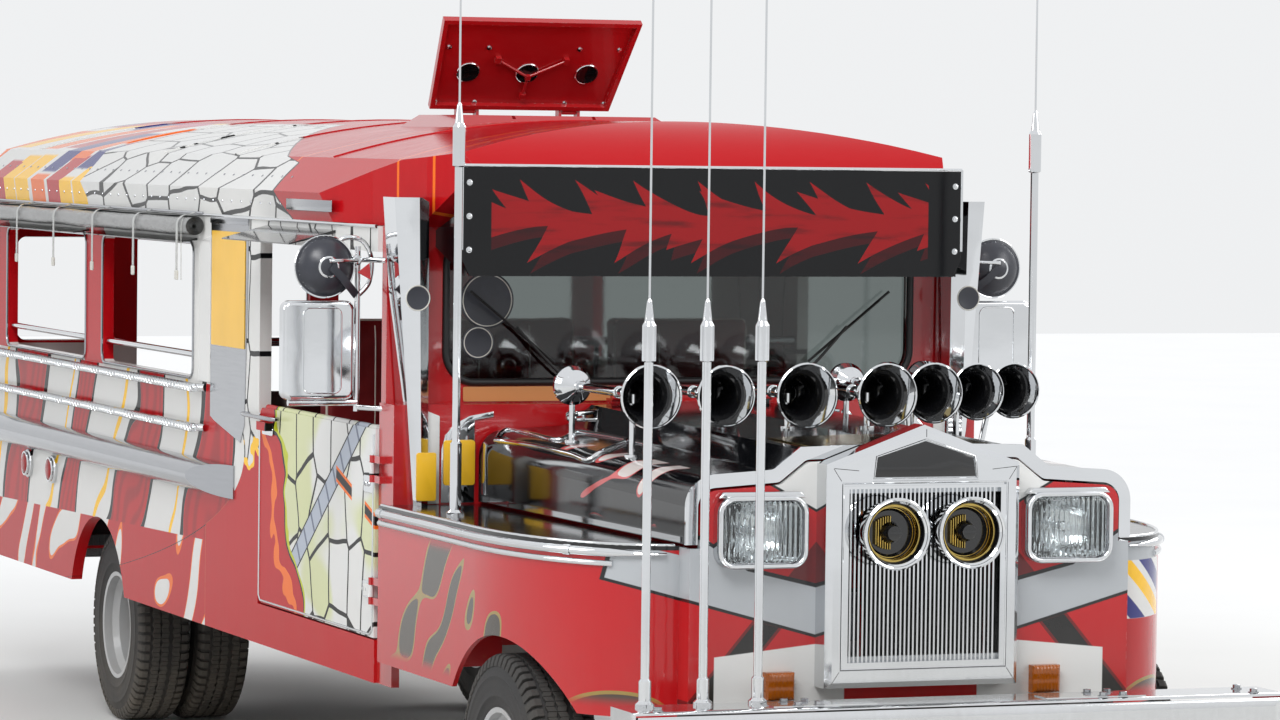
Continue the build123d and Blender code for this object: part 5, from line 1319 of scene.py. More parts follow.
class JEEPNEY_OT_horn_detail(bpy.types.Operator):
    """Throats lined black as painted shade inside the bells, clamp rings and driver caps on the seven air horns
    """
    bl_idname = "jeepney.horn_detail"
    bl_label = "Air horn detail"

    def execute(self, context):
        throat_shades, rings = [], []
        for i, (x, y, mouth) in enumerate(HORNS):
            # A black lining inside the bell: painted shade for the depth of the throat
            inner = [(14, mouth - 4.5), (40, mouth * 0.72 - 4), (72, mouth * 0.58 - 4),
                     (104, mouth * 0.45 - 4), (150, mouth * 0.3), (186, 12), (188, 0), (186, 0),
                     (148, mouth * 0.3 - 2), (102, mouth * 0.45 - 6), (70, mouth * 0.58 - 6),
                     (38, mouth * 0.72 - 6), (15, mouth - 6)]
            throat_shades.append(lathe(f"throat_{i}", inner, at(x, y, HORN_Z), (0, 1, 0), 40))
            lip = [(0, mouth - 2), (-2.5, mouth), (0, mouth + 3.4), (4, mouth + 4.4), (8, mouth + 2),
                   (4, mouth - 1)]
            rings.append(lathe(f"lip_{i}", lip, at(x, y, HORN_Z), (0, 1, 0), 48))
            for along, radius in ((150, 30), (262, 13.5), (575, 13.5)):
                outline = [(-7, radius - 1), (-7, radius + 3), (-4, radius + 5), (4, radius + 5),
                           (7, radius + 3), (7, radius - 1)]
                rings.append(lathe(f"clamp_{i}", outline, at(x, y + along, HORN_Z), (0, 1, 0), 24))
            cap = [(668, 0), (668, 20), (672, 24), (676, 20), (679, 0)]
            rings.append(lathe(f"driver_{i}", cap, at(x, y, HORN_Z), (0, 1, 0), 24))
            bolt = hex_bolt("driver_bolt", at(x + 46, y + 655, HORN_Z), (0, 1, 0), 0.009, 0.006)
            rings.append(ringed(bolt, 6, at(x, y + 655, HORN_Z), (0, 1, 0)))
        # The black linings inside the bells are painted shade
        fit_all("horn_throat_shades", throat_shades, "hood_lid", "black")
        fit_all("horn_fittings", rings, "hood_lid", "chrome")
        return {"FINISHED"}


# Fender trim follows the sweep of the shelf's edge
SHELF_IN, SHELF_OUT, SHELF_FRONT, SHELF_SWEEP, SHELF_REAR, SHELF_Z = 660, 1000, 60, 720, 1640, 1008


def shelf_edge(out, turn, z=SHELF_Z, steps=36):
    """Points of the right shelf's edge, from the rear round to an angle of its swept front."""
    middle = SHELF_FRONT + SHELF_SWEEP
    points = [at(-SHELF_OUT - out, y, z) for y in (SHELF_REAR, (SHELF_REAR + middle) / 2)]
    for i in range(steps + 1):
        angle = math.radians(turn * i / steps)
        points.append(at(-SHELF_IN - (SHELF_OUT - SHELF_IN + out) * math.cos(angle),
                         middle - (SHELF_SWEEP + out) * math.sin(angle), z))
    return points


class JEEPNEY_OT_fender_trim(bpy.types.Operator):
    """Doubled chrome mouldings round the fender shelves, and the blank boards of the cowl"""
    bl_idname = "jeepney.fender_trim"
    bl_label = "Fender trim"

    def execute(self, context):
        pieces = [pipe("shelf_moulding", shelf_edge(2, 84), 0.013),
                  pipe("shelf_moulding_low", shelf_edge(1, 62, SHELF_Z - 30), 0.009),
                  pipe("shelf_lip", shelf_edge(-5, 88, SHELF_Z + 23), 0.005)]
        # The moulding thins down towards its front tip
        tip, taper = shelf_edge(2, 84)[-1], 0.16
        for vertex in pieces[0].data.vertices:
            reach = (vertex.co - tip).length
            if reach < taper:
                vertex.co.z = tip.z + (vertex.co.z - tip.z) * (0.25 + 0.75 * reach / taper)
        end = [at(-SHELF_OUT - 2, y, SHELF_Z) for y in (SHELF_REAR, SHELF_REAR - 40)]
        pieces += [pipe("shelf_joint", shelf_edge(2, 46)[-3:], 0.0155), pipe("shelf_joint_rear", end, 0.0155)]
        for o in both_sides(pieces):
            fit(o, "chassis", "chrome")

        strip = [(-852, 1032), (-812, 1032), (-812, 1296), (-852, 1312)]
        arch = [(-806, 1034), (-806, 1196), (-794, 1238), (-764, 1272), (-716, 1296), (-640, 1309),
                (-640, 1292), (-700, 1282), (-700, 1034)]
        boards = [(plate(name, outline, 1, front, rear, bevel), finish)
                  for name, outline, front, rear, bevel, finish in (
                      ("cowl_board_out", round_corners(-903, -840, 1045, 1190, 8), 1593, 1598, 0.001, "yellow"),
                      ("cowl_board_in", round_corners(-800, -700, 1087, 1223, 10), 1645, 1650, 0.001, "yellow"),
                      ("cowl_post_strip", strip, 1648, 1654.5, 0.002, "white"),
                      ("cowl_guard", arch, 1650, 1654, 0.002, "chrome"))]
        for o, finish in boards:
            for board in (o, copied(o, o.name + "_left", MIRROR)):
                fit(board, "chassis", finish)
        return {"FINISHED"}


# The round lamps in the grille and the headlamps beside it
LAMP_X, LAMP_Z, HEAD_X, HEAD_Z = 112, 1071, 460, 1072


class JEEPNEY_OT_grille_detail(bpy.types.Operator):
    """Blank name board, mitre seams and the ribbed insides of the round lamps"""
    bl_idname = "jeepney.grille_detail"
    bl_label = "Grille detail"

    def execute(self, context):
        board = [(-150, 1221), (150, 1221), (143, 1275), (0, 1319), (-143, 1275)]
        fit(plate("name_board", board, 1, -98.5, -95.2, 0.0012), "chassis", "black")
        edge = (-154, 1218), (154, 1218), (147, 1277), (0, 1323), (-147, 1277)
        opening = (-245, 697), (245, 697), (245, 1206), (-245, 1206)
        rims = [bar("board_bar", at(-158, -101, 1208), at(158, -101, 1208), 0.004, 14),
                pipe("board_edge", flat(edge, 1, -99.5), 0.0022, True, 2),
                pipe("opening_edge", flat(opening, 1, -98), 0.004, True, 3)]
        fit_all("grille_rims", rims, "chassis", "chrome")
        seams = []
        for side in SIDES:
            for x0, z0, x1, z1 in ((251, 691, 274, 658), (251, 1212, 274, 1246), (273, 1247, 200, 1240),
                                   (0, 1330, 0, 1352)):
                seams.append(bar("seam", at(side * x0, -100, z0), at(side * x1, -100, z1), 0.0009, 6))
        fit_all("grille_seams", seams, "chassis", "frame")

        bowls, ribs, beads = [], [], []
        for side in SIDES:
            centre = at(side * LAMP_X, 0, LAMP_Z)
            liner = [(-158, 85.5), (-146, 81), (-118, 79), (-101, 62), (-101, 30), (-143, 17), (-146, 0),
                     (-150, 0), (-147, 20), (-105, 33), (-105, 60), (-120, 75), (-146, 78), (-157, 83)]
            bowls.append(lathe("lamp_bowl", liner, centre, (0, 1, 0), 56))
            for along, radius in ((-112, 70), (-122, 74.5), (-131, 76), (-140, 77)):
                ring = [(along - 2, radius + 1), (along - 2, radius - 3), (along + 2, radius - 3),
                        (along + 2, radius + 1)]
                ribs.append(lathe("lamp_rib", ring, centre, (0, 1, 0), 48))
            for i in range(7):
                x = side * LAMP_X - 42 + 7 * i
                reach = math.sqrt(58 ** 2 - (x - side * LAMP_X) ** 2) * 0.8
                ribs.append(block("slat", x - 1.6, x + 1.6, -116, -106, LAMP_Z - reach, LAMP_Z + reach,
                                  0.0006, 1))
            rim = [(-160, 88), (-168, 90), (-171, 95), (-168, 99), (-160, 99), (-152, 96), (-152, 90)]
            beads.append(lathe("lamp_rim", rim, centre, (0, 1, 0), 64))
        fit_all("lamp_bowls", bowls, "chassis", "black")
        fit_all("lamp_ribs", ribs, "chassis", "brass")
        fit_all("lamp_rims", beads, "chassis", "chrome")
        return {"FINISHED"}


class JEEPNEY_OT_headlamp_detail(bpy.types.Operator):
    """Reflector, bulb and bezel of each headlamp"""
    bl_idname = "jeepney.headlamp_detail"
    bl_label = "Headlamp detail"

    def execute(self, context):
        pieces = []
        for side in SIDES:
            centre = at(side * HEAD_X, 0, HEAD_Z)
            bowl = [(26, 15), (24, 30), (16, 50), (2, 68), (-18, 81), (-18, 83), (4, 71), (19, 52), (28, 31),
                    (29, 15)]
            pieces.append(lathe("reflector", bowl, centre, (0, 1, 0), 48))
            bulb = [(28, 0), (28, 12), (18, 12), (14, 9), (2, 9), (-6, 6), (-9, 0)]
            cap = [(-8, 0), (-8, 13), (-14, 15), (-17, 12), (-18, 0)]
            pieces += [lathe(name, outline, centre, (0, 1, 0), 24)
                       for name, outline in (("bulb", bulb), ("bulb_cap", cap))]
            bezel = round_corners(side * HEAD_X - 125, side * HEAD_X + 125, 980, 1164, 40)
            pieces.append(pipe("bezel", flat(bezel, 1, -57), 0.007, True, 4))
        fit_all("headlamp_inside", pieces, "chassis", "chrome")
        brow = [(-128, 1166), (128, 1166), (112, 1182), (-112, 1182)]
        lips = [plate("lamp_brow", [(side * HEAD_X + x, z) for x, z in brow], 1, -52, -19, 0.004)
                for side in SIDES]
        fit_all("lamp_brows", lips, "chassis", "chrome")
        return {"FINISHED"}


def bead_disc(name, centre, radius, thick=3.0, axis=(0, -1, 0), steps=40):
    """A flat disc with a rolled rim, its back on the given point in metres."""
    outline = [(0, 0), (0, radius), (thick * 0.6, radius + 1), (thick, radius - 1), (thick, radius - 6),
               (thick * 0.7, radius - 9), (thick * 0.6, 0)]
    return lathe(name, outline, centre, axis, steps)


def in_front(node, x, z):
    """The first point of a node seen from ahead at a height."""
    return struck(NODES[node], at(x, -900, z), Vector((0, 1, 0)))[0]


def behind(node, x, z):
    """The first point of a node seen from behind at a height."""
    return struck(NODES[node], at(x, 7600, z), Vector((0, -1, 0)))[0]


class JEEPNEY_OT_screen_trim(bpy.types.Operator):
    """Windshield rubber, wipers, blank discs and strip, and the bright edges of the sun visor"""
    bl_idname = "jeepney.screen_trim"
    bl_label = "Screen trim"

    def execute(self, context):
        width = sizes().gasket
        line = flat(round_corners(-766, 766, 1392, 1839, 92, 10), 1, 1738)
        rubber = pipe("screen_rubber", line, width / 2, True, 4)
        pivots = []
        for side in SIDES:
            start = at(side * 330, 1728, 1360)
            elbow = at(side * 430, 1716, 1440)
            pivots += [lathe("wiper_pivot", [(0, 0), (0, 16), (5, 17), (14, 12), (20, 11), (22, 0)],
                             at(side * 330, 1740, 1360), (0, -1, 0), 24),
                       pipe("wiper_arm", curved([start, elbow, at(side * 545, 1722, 1560)], 5), 0.0045),
                       bar("wiper_blade", at(side * 420, 1729, 1452), at(side * 690, 1729, 1668), 0.0042, 10),
                       bar("wiper_spine", at(side * 455, 1722, 1480), at(side * 655, 1722, 1640), 0.003, 8)]
        fit_all("screen_rubber", [rubber, *pivots], "chassis", "seal")
        band = round_corners(-709, -233, 1334, 1379, 6, 3)
        fit(plate("screen_strip", band, 1, 1735.4, 1739.4, 0.0006, 1), "chassis", "orange")
        high, low = in_front("windshield_glass", -628, 1640), in_front("windshield_glass", -656, 1512)
        discs = [bead_disc("screen_disc", high, 84, 2.0), bead_disc("screen_disc_low", low, 50, 2.0)]
        fit_all("screen_discs", discs, "chassis", "disc")

        half, front, top = 812, 1463, 2050
        edges = [pipe("visor_top", [at(-half, front, top), at(half, front, top)], 0.0055)]
        edges += [pipe("visor_side", [at(x, front, top), at(x, front, 1800)], 0.0045) for x in (half, -half)]
        fit_all("visor_edges", edges, "chassis", "chrome", "stainless")
        ties = [hex_bolt("visor_bolt", at(side * 790, 1462, z), (0, -1, 0), 0.012, 0.006)
                for side in SIDES for z in (1800, 1900, 2000)]
        fit_all("visor_bolts", ties, "chassis", "chrome", "stainless")
        wings = []
        rings = [lathe("disc_ring", [(0, radius - 4), (2.6, radius - 3.5), (2.6, radius - 0.5), (0, radius)],
                       place, (0, -1, 0), 48) for radius, place in ((80, high), (47, low))]
        for side in SIDES:
            place = at(side * 902, 1601, 1652)
            wings.append(bead_disc("wing_badge", place, 37, 3.0))
            ring = [(-1, 37), (3.5, 39), (5, 37), (3.5, 35)]
            rings.append(lathe("badge_ring", ring, place, (0, -1, 0), 36))
        fit_all("wing_badges", wings, "chassis", "disc")
        fit_all("disc_rings", rings, "chassis", "pale")
        return {"FINISHED"}


# The right side's outer skin stands at this x; the left side mirrors it
SKIN = -965


def rope_twist(name, start, end, radius, turns):
    """Two thin strands wound round a straight rail between two points in metres."""
    run = end - start
    across = run.orthogonal().normalized()
    other = run.cross(across).normalized()
    strands = []
    for k in range(2):
        points = []
        for i in range(turns * 8 + 1):
            angle = 2 * math.pi * (i / 8 + k / 2)
            points.append(start + run * (i / (turns * 8)) + across * math.cos(angle) * radius
                          + other * math.sin(angle) * radius)
        strands.append(pipe(name, points, 0.0028, False, 1))
    return joined(name, strands)


class JEEPNEY_OT_side_trim(bpy.types.Operator):
    """Post strip with its blank yellow board, window edges, eave bead, rail twists and side lamps"""
    bl_idname = "jeepney.side_trim"
    bl_label = "Side trim"

    def execute(self, context):
        post = [(3150, 1862), (3590, 1862), (3590, 1190), (3540, 1176), (3230, 1120), (3186, 1180)]
        head = [(3150, 1836), (3590, 1836), (3590, 1862), (3150, 1862)]
        handle = curved([at(SKIN - depth, y, 1222)
                         for depth, y in ((4, 2806), (30, 2812), (26, 3118), (4, 3124))], 5)
        bead = [(2205, 1897), (2682, 1897), (2682, 1933), (2205, 1933)]
        steel = [plate("post_strip", post, 0, SKIN - 3, SKIN + 0.5, 0.001, 1),
                 plate("post_cap", head, 0, SKIN - 8, SKIN, 0.003), pipe("door_pull", handle, 0.007),
                 plate("eave_bead", bead, 0, -985, -981, 0.0015)]
        for y0, y1 in ((3810, 5000), (5240, 6430)):
            ring = flat(round_corners(y0 - 5, y1 + 5, 1305, 1765, 42), 0, SKIN - 1)
            steel.append(pipe("window_edge", ring, 0.0055, True, 3))
        fit_pair("side_steel", steel, "chassis", "stainless")
        square = round_corners(3186, 3576, 1430, 1812, 4, 2)
        board = plate("post_board", square, 0, SKIN - 5.4, SKIN - 3.1, 0.0008, 1)
        fit_pair("post_board", [board], "chassis", "yellow")
        panel = [(3600, 1300), (3736, 1300), (3736, 1744), (3700, 1776), (3600, 1790)]
        white = plate("post_white", panel, 0, SKIN - 2.2, SKIN + 0.5, 0.001, 1)
        fit_pair("post_white", [white], "chassis", "white")

        twists = [rope_twist("rail_twist", at(-999, 3670, z), at(-999, 6655, z), 0.0135, 74)
                  for z in (1280, 1145)]
        fit_pair("rail_twists", twists, "chassis", "chrome", angle=60)

        cup = [(0, 0), (0, 52), (10, 54), (14, 50), (16, 44), (18, 44), (20, 48), (24, 46), (24, 40),
               (12, 40), (6, 0)]
        lens = [(7, 0), (7, 41), (21, 41), (28, 30), (31, 14), (32, 0)]
        lamps, lenses = [], []
        for y in (5690, 6060):
            lamps.append(lathe("side_lamp_cup", cup, at(SKIN, y, 870), (-1, 0, 0), 36))
            lenses.append(lathe("side_lamp_lens", lens, at(SKIN, y, 870), (-1, 0, 0), 36))
        fit_pair("side_lamp_cups", lamps, "chassis", "chrome")
        fit_pair("side_lamp_lenses", lenses, "chassis", "ruby")
        return {"FINISHED"}


class JEEPNEY_OT_door_trim(bpy.types.Operator):
    """Handle plate, hinge leaves and edge bead of each low door"""
    bl_idname = "jeepney.door_trim"
    bl_label = "Door trim"

    def execute(self, context):
        edge = (1812, 1232), (1812, 640), (1840, 624), (2990, 624), (3008, 640), (3008, 1232)
        pieces = [pipe("door_bead", flat(edge, 0, SKIN - 1), 0.004, False, 3)]
        for z in (760, 1080):
            leaf = round_corners(1812, 1900, z - 26, z + 26, 8, 3)
            pieces.append(plate("hinge_leaf", leaf, 0, SKIN - 5, SKIN, 0.001, 1))
            for y in (1850, 1882):
                pieces.append(hex_bolt("hinge_bolt", at(SKIN - 5, y, z), (-1, 0, 0), 0.011, 0.006))
        handle = round_corners(2862, 2978, 1164, 1190, 8, 3)
        pieces.append(plate("handle_plate", handle, 0, SKIN - 4, SKIN, 0.001, 1))
        right, left = both_sides([joined("door_chrome", pieces)])
        fit(right, "right_door", "chrome")
        fit(left, "left_door", "chrome")
        return {"FINISHED"}


# Middle of the dish above the right mirror
DISH = (-1110, 1738)


class JEEPNEY_OT_mirror_trim(bpy.types.Operator):
    """Loop, dish, stays, looking glasses and the red flag of the mirrors"""
    bl_idname = "jeepney.mirror_trim"
    bl_label = "Mirror trim"

    def execute(self, context):
        arm = curved([at(-1096, 1884, 1770), at(-1052, 1876, 1822), at(-990, 1872, 1816),
                      at(-960, 1872, 1758), at(-968, 1872, 1690), at(-1003, 1872, 1650)], 8)
        chrome = [pipe("mirror_loop", arm, 0.0075)]
        ring = flat(round_corners(-1180, -1060, 1356, 1614, 22, 5), 1, 1851.5)
        chrome.append(pipe("mirror_press", ring, 0.0026, True, 3))
        chrome.append(bar("dish_stay", at(-1112, 1813, 1756), at(-1012, 1846, 1758), 0.006, 14, 0.001))
        chrome.append(lathe("dish_knuckle", [(-9, 0), (-9, 11), (-5, 15), (5, 15), (9, 11), (9, 0)],
                            at(-1012, 1856, 1758), (0, 1, 0), 24))
        # The shell follows the dish that the CAD mirror carries
        x, z = DISH
        centre = at(x, 1816, z)
        profile = [((in_front("mirrors", x + reach, z) - centre).y * 1000, reach)
                   for reach in (0, 20, 40, 55, 68, 78, 85)]
        edge = profile[-1][0]
        shell = [(a - 1.6, r) for a, r in profile] + [(edge, 92), (edge + 6, 93), (edge + 6, 86)]
        shell += [(a + 0.4, r) for a, r in reversed(profile)]
        dish = lathe("dish_shell", shell, centre, (0, 1, 0), 56)
        rim = [(edge - 1, 91), (edge - 2, 94), (edge + 2, 96), (edge + 7, 94), (edge + 6, 91)]
        chrome.append(lathe("dish_rim", rim, centre, (0, 1, 0), 56))
        strut = ribbon("dish_strut", [at(-1106, 1811, 1740), at(-1070, 1814, 1706), at(-1012, 1858, 1652)],
                       (0.66, 0, 0.75), 0.024, 0.004)
        flag = plate("mirror_flag", [(-1030, 1723), (-992, 1752), (-988, 1700)], 1, 1790, 1792.5, 0.0006, 1)
        face = behind("mirrors", x, z)
        glass = [lathe("dish_glass", [(-1, 0), (-1, 84), (1, 84), (2, 60), (2.4, 0)], face, (0, 1, 0), 40)]
        face = behind("mirrors", -1120, 1485)
        pane = round_corners(-1188, -1052, 1350, 1622, 16, 4)
        depth = (face.y + NOSE_TO_MIDDLE) * 1000
        glass.append(plate("mirror_pane", pane, 1, depth - 0.4, depth + 1.6, 0.0008, 1))
        fit_pair("mirror_arms", chrome, "chassis", "chrome")
        fit_pair("mirror_flag", [flag], "chassis", "red")
        fit_pair("dish_shell", [dish, strut], "chassis", "disc")
        fit_pair("mirror_faces", glass, "chassis", "mirror")
        return {"FINISHED"}


# Soft goods: rolled rain curtains and stuffed seats

ROLL_X, ROLL_Z, ROLL_FRONT, ROLL_REAR = -1001, 1824, 3680, 6650


def rolled_curtain(name):
    """A clear sheet wound on itself from its lower hem: a spiral carried along the side, a bit crumpled."""
    core, widest, turns, per_turn = 8.0, 35.2, 5.3, 22
    grow = (34.0 - core) / turns
    run = ROLL_REAR - ROLL_FRONT
    rows = int(run / 27)
    count = int(turns * per_turn)
    chance = random.Random(7)
    waves = [(chance.uniform(2, 9), chance.uniform(0, 6.3), chance.uniform(1, 4)) for _ in range(7)]
    vertices, faces = [], []
    for row in range(rows + 1):
        y = ROLL_FRONT + run * row / rows
        for i in range(count + 1):
            turn = i / per_turn
            crumple = sum(math.sin(y / 1000 * speed * 2 + start + turn * lobe)
                          for speed, start, lobe in waves)
            ease = min(1.0, i / per_turn) * (0.7 if row in (0, rows) else 1.0)
            radius = min(core + grow * turn + crumple * 0.34 * ease, widest)
            angle = 2 * math.pi * turn
            sag = 1.6 * math.sin((y - ROLL_FRONT) / 590 * math.pi) ** 2
            vertices.append(at(ROLL_X + radius * math.cos(angle), y, ROLL_Z + radius * math.sin(angle) - sag))
    for row in range(rows):
        for i in range(count):
            a = row * (count + 1) + i
            b = a + count + 1
            faces.append((a, a + 1, b + 1, b))
    return modified(from_points(name, vertices, faces=faces), "SOLIDIFY", thickness=0.0006, offset=0)


class JEEPNEY_OT_curtains(bpy.types.Operator):
    """Clear rain curtains rolled under the eaves, with their straps, buckles and end ties"""
    bl_idname = "jeepney.curtains"
    bl_label = "Rain curtains"

    def execute(self, context):
        right = rolled_curtain("curtain_right")
        rolls = {"right": right, "left": copied(right, "curtain_left", MIRROR)}
        straps, buckles = [], []
        count = sizes().straps
        for i in range(count):
            y = ROLL_FRONT + 90 + (ROLL_REAR - ROLL_FRONT - 180) * i / (count - 1)
            # Over the roll from its top to its outer side, then straight down to the buckle
            bends = [math.radians(80 + 8 * k) for k in range(14)]
            path = [at(-968, y, 1872), *(at(ROLL_X + 36.6 * math.cos(bend), y, ROLL_Z + 36.6 * math.sin(bend))
                                         for bend in bends),
                    at(-1036.5, y + 3, 1790), at(-1036, y + 6, 1730), at(-1035, y + 9, 1664)]
            straps.append(ribbon("curtain_strap", path, (0, 1, 0), sizes().strap_width, 0.0012))
            ring = round_corners(y - 9, y + 25, 1640, 1672, 5, 3)
            buckles.append(plate("strap_buckle", ring, 0, -1038.5, -1033, 0.0012, 1))
        thin = [at(-1034, 3712, 1846), at(-1038.4, 3714, 1822), at(-1037.5, 3716, 1780),
                at(-1036, 3718, 1641)]
        straps.append(ribbon("curtain_tie", curved(thin, 6), (0, 1, 0), 0.006, 0.0012))
        rail = pipe("curtain_rail", [at(-968, ROLL_FRONT, 1866), at(-968, ROLL_REAR, 1866)], 0.007)
        fit_pair("curtain_straps", straps, "chassis", "strap")
        fit_pair("strap_buckles", buckles, "chassis", "pale")
        fit_pair("curtain_rail", [rail], "chassis", "stainless")
        for side, roll in rolls.items():
            fit(roll, "chassis", "film", angle=60)
            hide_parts("rain_rolls")
            "side_wall_" + side
        return {"FINISHED"}


def stuffed(name, low, high, voxel=0.01, cap=0.011, halve=True):
    """A pad swollen by cloth simulation from a slightly smaller block, corners in millimetres."""
    inset = 7
    low, high = [v + inset for v in low], [v - inset for v in high]
    o = block(name, low[0], high[0], low[1], high[1], low[2], high[2], 0.018, 4)
    modified(o, "REMESH", mode="VOXEL", voxel_size=voxel)
    start = [v.co.copy() for v in o.data.vertices]
    only(o)
    cloth = o.modifiers.new("Stuffing", "CLOTH")
    cloth.settings.quality = 5
    cloth.settings.use_pressure = True
    cloth.settings.uniform_pressure_force = 4
    cloth.settings.effector_weights.gravity = 0
    cloth.point_cache.frame_start = 1
    cloth.point_cache.frame_end = 20
    for frame_number in range(1, 21):
        bpy.context.scene.frame_set(frame_number)
    bpy.ops.object.modifier_apply(modifier=cloth.name)
    bpy.context.scene.frame_set(1)
    for vertex, rest in zip(o.data.vertices, start):
        move = vertex.co - rest
        if move.length > cap:
            vertex.co = rest + move * (cap / move.length)
    if halve:
        modified(o, "SUBSURF", levels=1, render_levels=1)
    return o


def welt(pad, axis, level, low, high, radius):
    """Piping that follows the skin of a pad round its rim, at a level on one axis."""
    across = [i for i in range(3) if i != axis]
    (u0, u1), (v0, v1) = ((low[i], high[i]) for i in across)
    rim = [(u0 + (u1 - u0) * i / 24, v0) for i in range(24)]
    rim += [(u1, v0 + (v1 - v0) * i / 14) for i in range(14)]
    rim += [(u1 - (u1 - u0) * i / 24, v1) for i in range(24)]
    rim += [(u0, v1 - (v1 - v0) * i / 14) for i in range(14)]
    inset = min(u1 - u0, v1 - v0) * 0.3
    points = []
    for u, v in rim:
        inner = (min(max(u, u0 + inset), u1 - inset), min(max(v, v0 + inset), v1 - inset))
        outer = (u + (u - inner[0]) * 0.3, v + (v - inner[1]) * 0.3)
        start, end = [0, 0, 0], [0, 0, 0]
        for place, pair in ((start, outer), (end, inner)):
            place[across[0]], place[across[1]], place[axis] = pair[0], pair[1], level
        origin, target = at(*start), at(*end)
        hit, place, _, _ = pad.ray_cast(origin, (target - origin).normalized())
        if hit:
            points.append(place)
    return pipe(pad.name + "_piping", points, radius, True, 3)


CAB_PADS = {"driver_seat": ((170, 2400, 930), (670, 2800, 1040)),
            "driver_back": ((170, 2800.3, 932), (670, 2910, 1560)),
            "mate_seat": ((-820, 2400, 930), (60, 2800, 1040)),
            "mate_back": ((-820, 2800.3, 932), (60, 2910, 1560))}
BENCH_SEAT = ((-869, 3105, 1040), (-438, 3703, 1120))
BENCH_BACK = ((-925, 3105, 1150), (-873, 3703, 1296))
BENCH_STEP, BENCH_PADS = 598.3, 6


def padded_piece(o):
    fit(o, "chassis", "vinyl", angle=60)
    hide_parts("cushions")


class JEEPNEY_OT_cab_seats(bpy.types.Operator):
    """Stuffed vinyl cushions and backs of the cab, with piping and sewn channels"""
    bl_idname = "jeepney.cab_seats"
    bl_label = "Cab seats"

    def execute(self, context):
        radius = sizes().piping
        trims = []
        for name, (low, high) in CAB_PADS.items():
            pad = stuffed(name, low, high, voxel=0.012)
            axis, level = (2, high[2] - 22) if name.endswith("seat") else (1, low[1] + 20)
            trims.append(welt(pad, axis, level, low, high, radius))
            seams = max(2, round((high[0] - low[0]) / 170))
            for i in range(1, seams):
                x = low[0] + (high[0] - low[0]) * i / seams
                line = []
                for k in range(25):
                    t = 0.06 + 0.88 * k / 24
                    if name.endswith("seat"):
                        origin, way = at(x, low[1] + (high[1] - low[1]) * t, high[2] + 60), Vector((0, 0, -1))
                    else:
                        origin, way = at(x, low[1] - 60, low[2] + (high[2] - low[2]) * t), Vector((0, 1, 0))
                    hit, place, _, _ = pad.ray_cast(origin, way)
                    if hit:
                        line.append(place)
                trims.append(pipe(name + "_seam", line, radius * 0.5, False, 2))
            padded_piece(pad)
        fit_all("cab_seat_piping", trims, "chassis", "piping")
        return {"FINISHED"}


class JEEPNEY_OT_bench_seats(bpy.types.Operator):
    """The two long benches: six stuffed pads and six back pads on each side"""
    bl_idname = "jeepney.bench_seats"
    bl_label = "Bench seats"

    def execute(self, context):
        radius = sizes().piping
        seat = stuffed("bench_pad", *BENCH_SEAT, halve=False)
        back = stuffed("bench_back", *BENCH_BACK, cap=0.007, halve=False)
        seat_piping = welt(seat, 2, BENCH_SEAT[1][2] - 18, *BENCH_SEAT, radius)
        back_piping = welt(back, 0, BENCH_BACK[1][0] - 14, *BENCH_BACK, radius * 0.8)
        pipes, seats, backs = [], [], []
        for i in range(BENCH_PADS):
            move = shifted(0, BENCH_STEP * i)
            seats.append(copied(seat, "bench_pad_part", move))
            backs.append(copied(back, "bench_back_part", move))
            pipes += [copied(seat_piping, "bench_piping_part", move),
                      copied(back_piping, "back_piping_part", move)]
        for o in (seat, back, seat_piping, back_piping):
            deleted(o)
        for o in both_sides([joined("bench_pads", seats), joined("bench_backs", backs)]):
            padded_piece(o)
        fit_pair("bench_piping", pipes, "chassis", "piping")
        return {"FINISHED"}


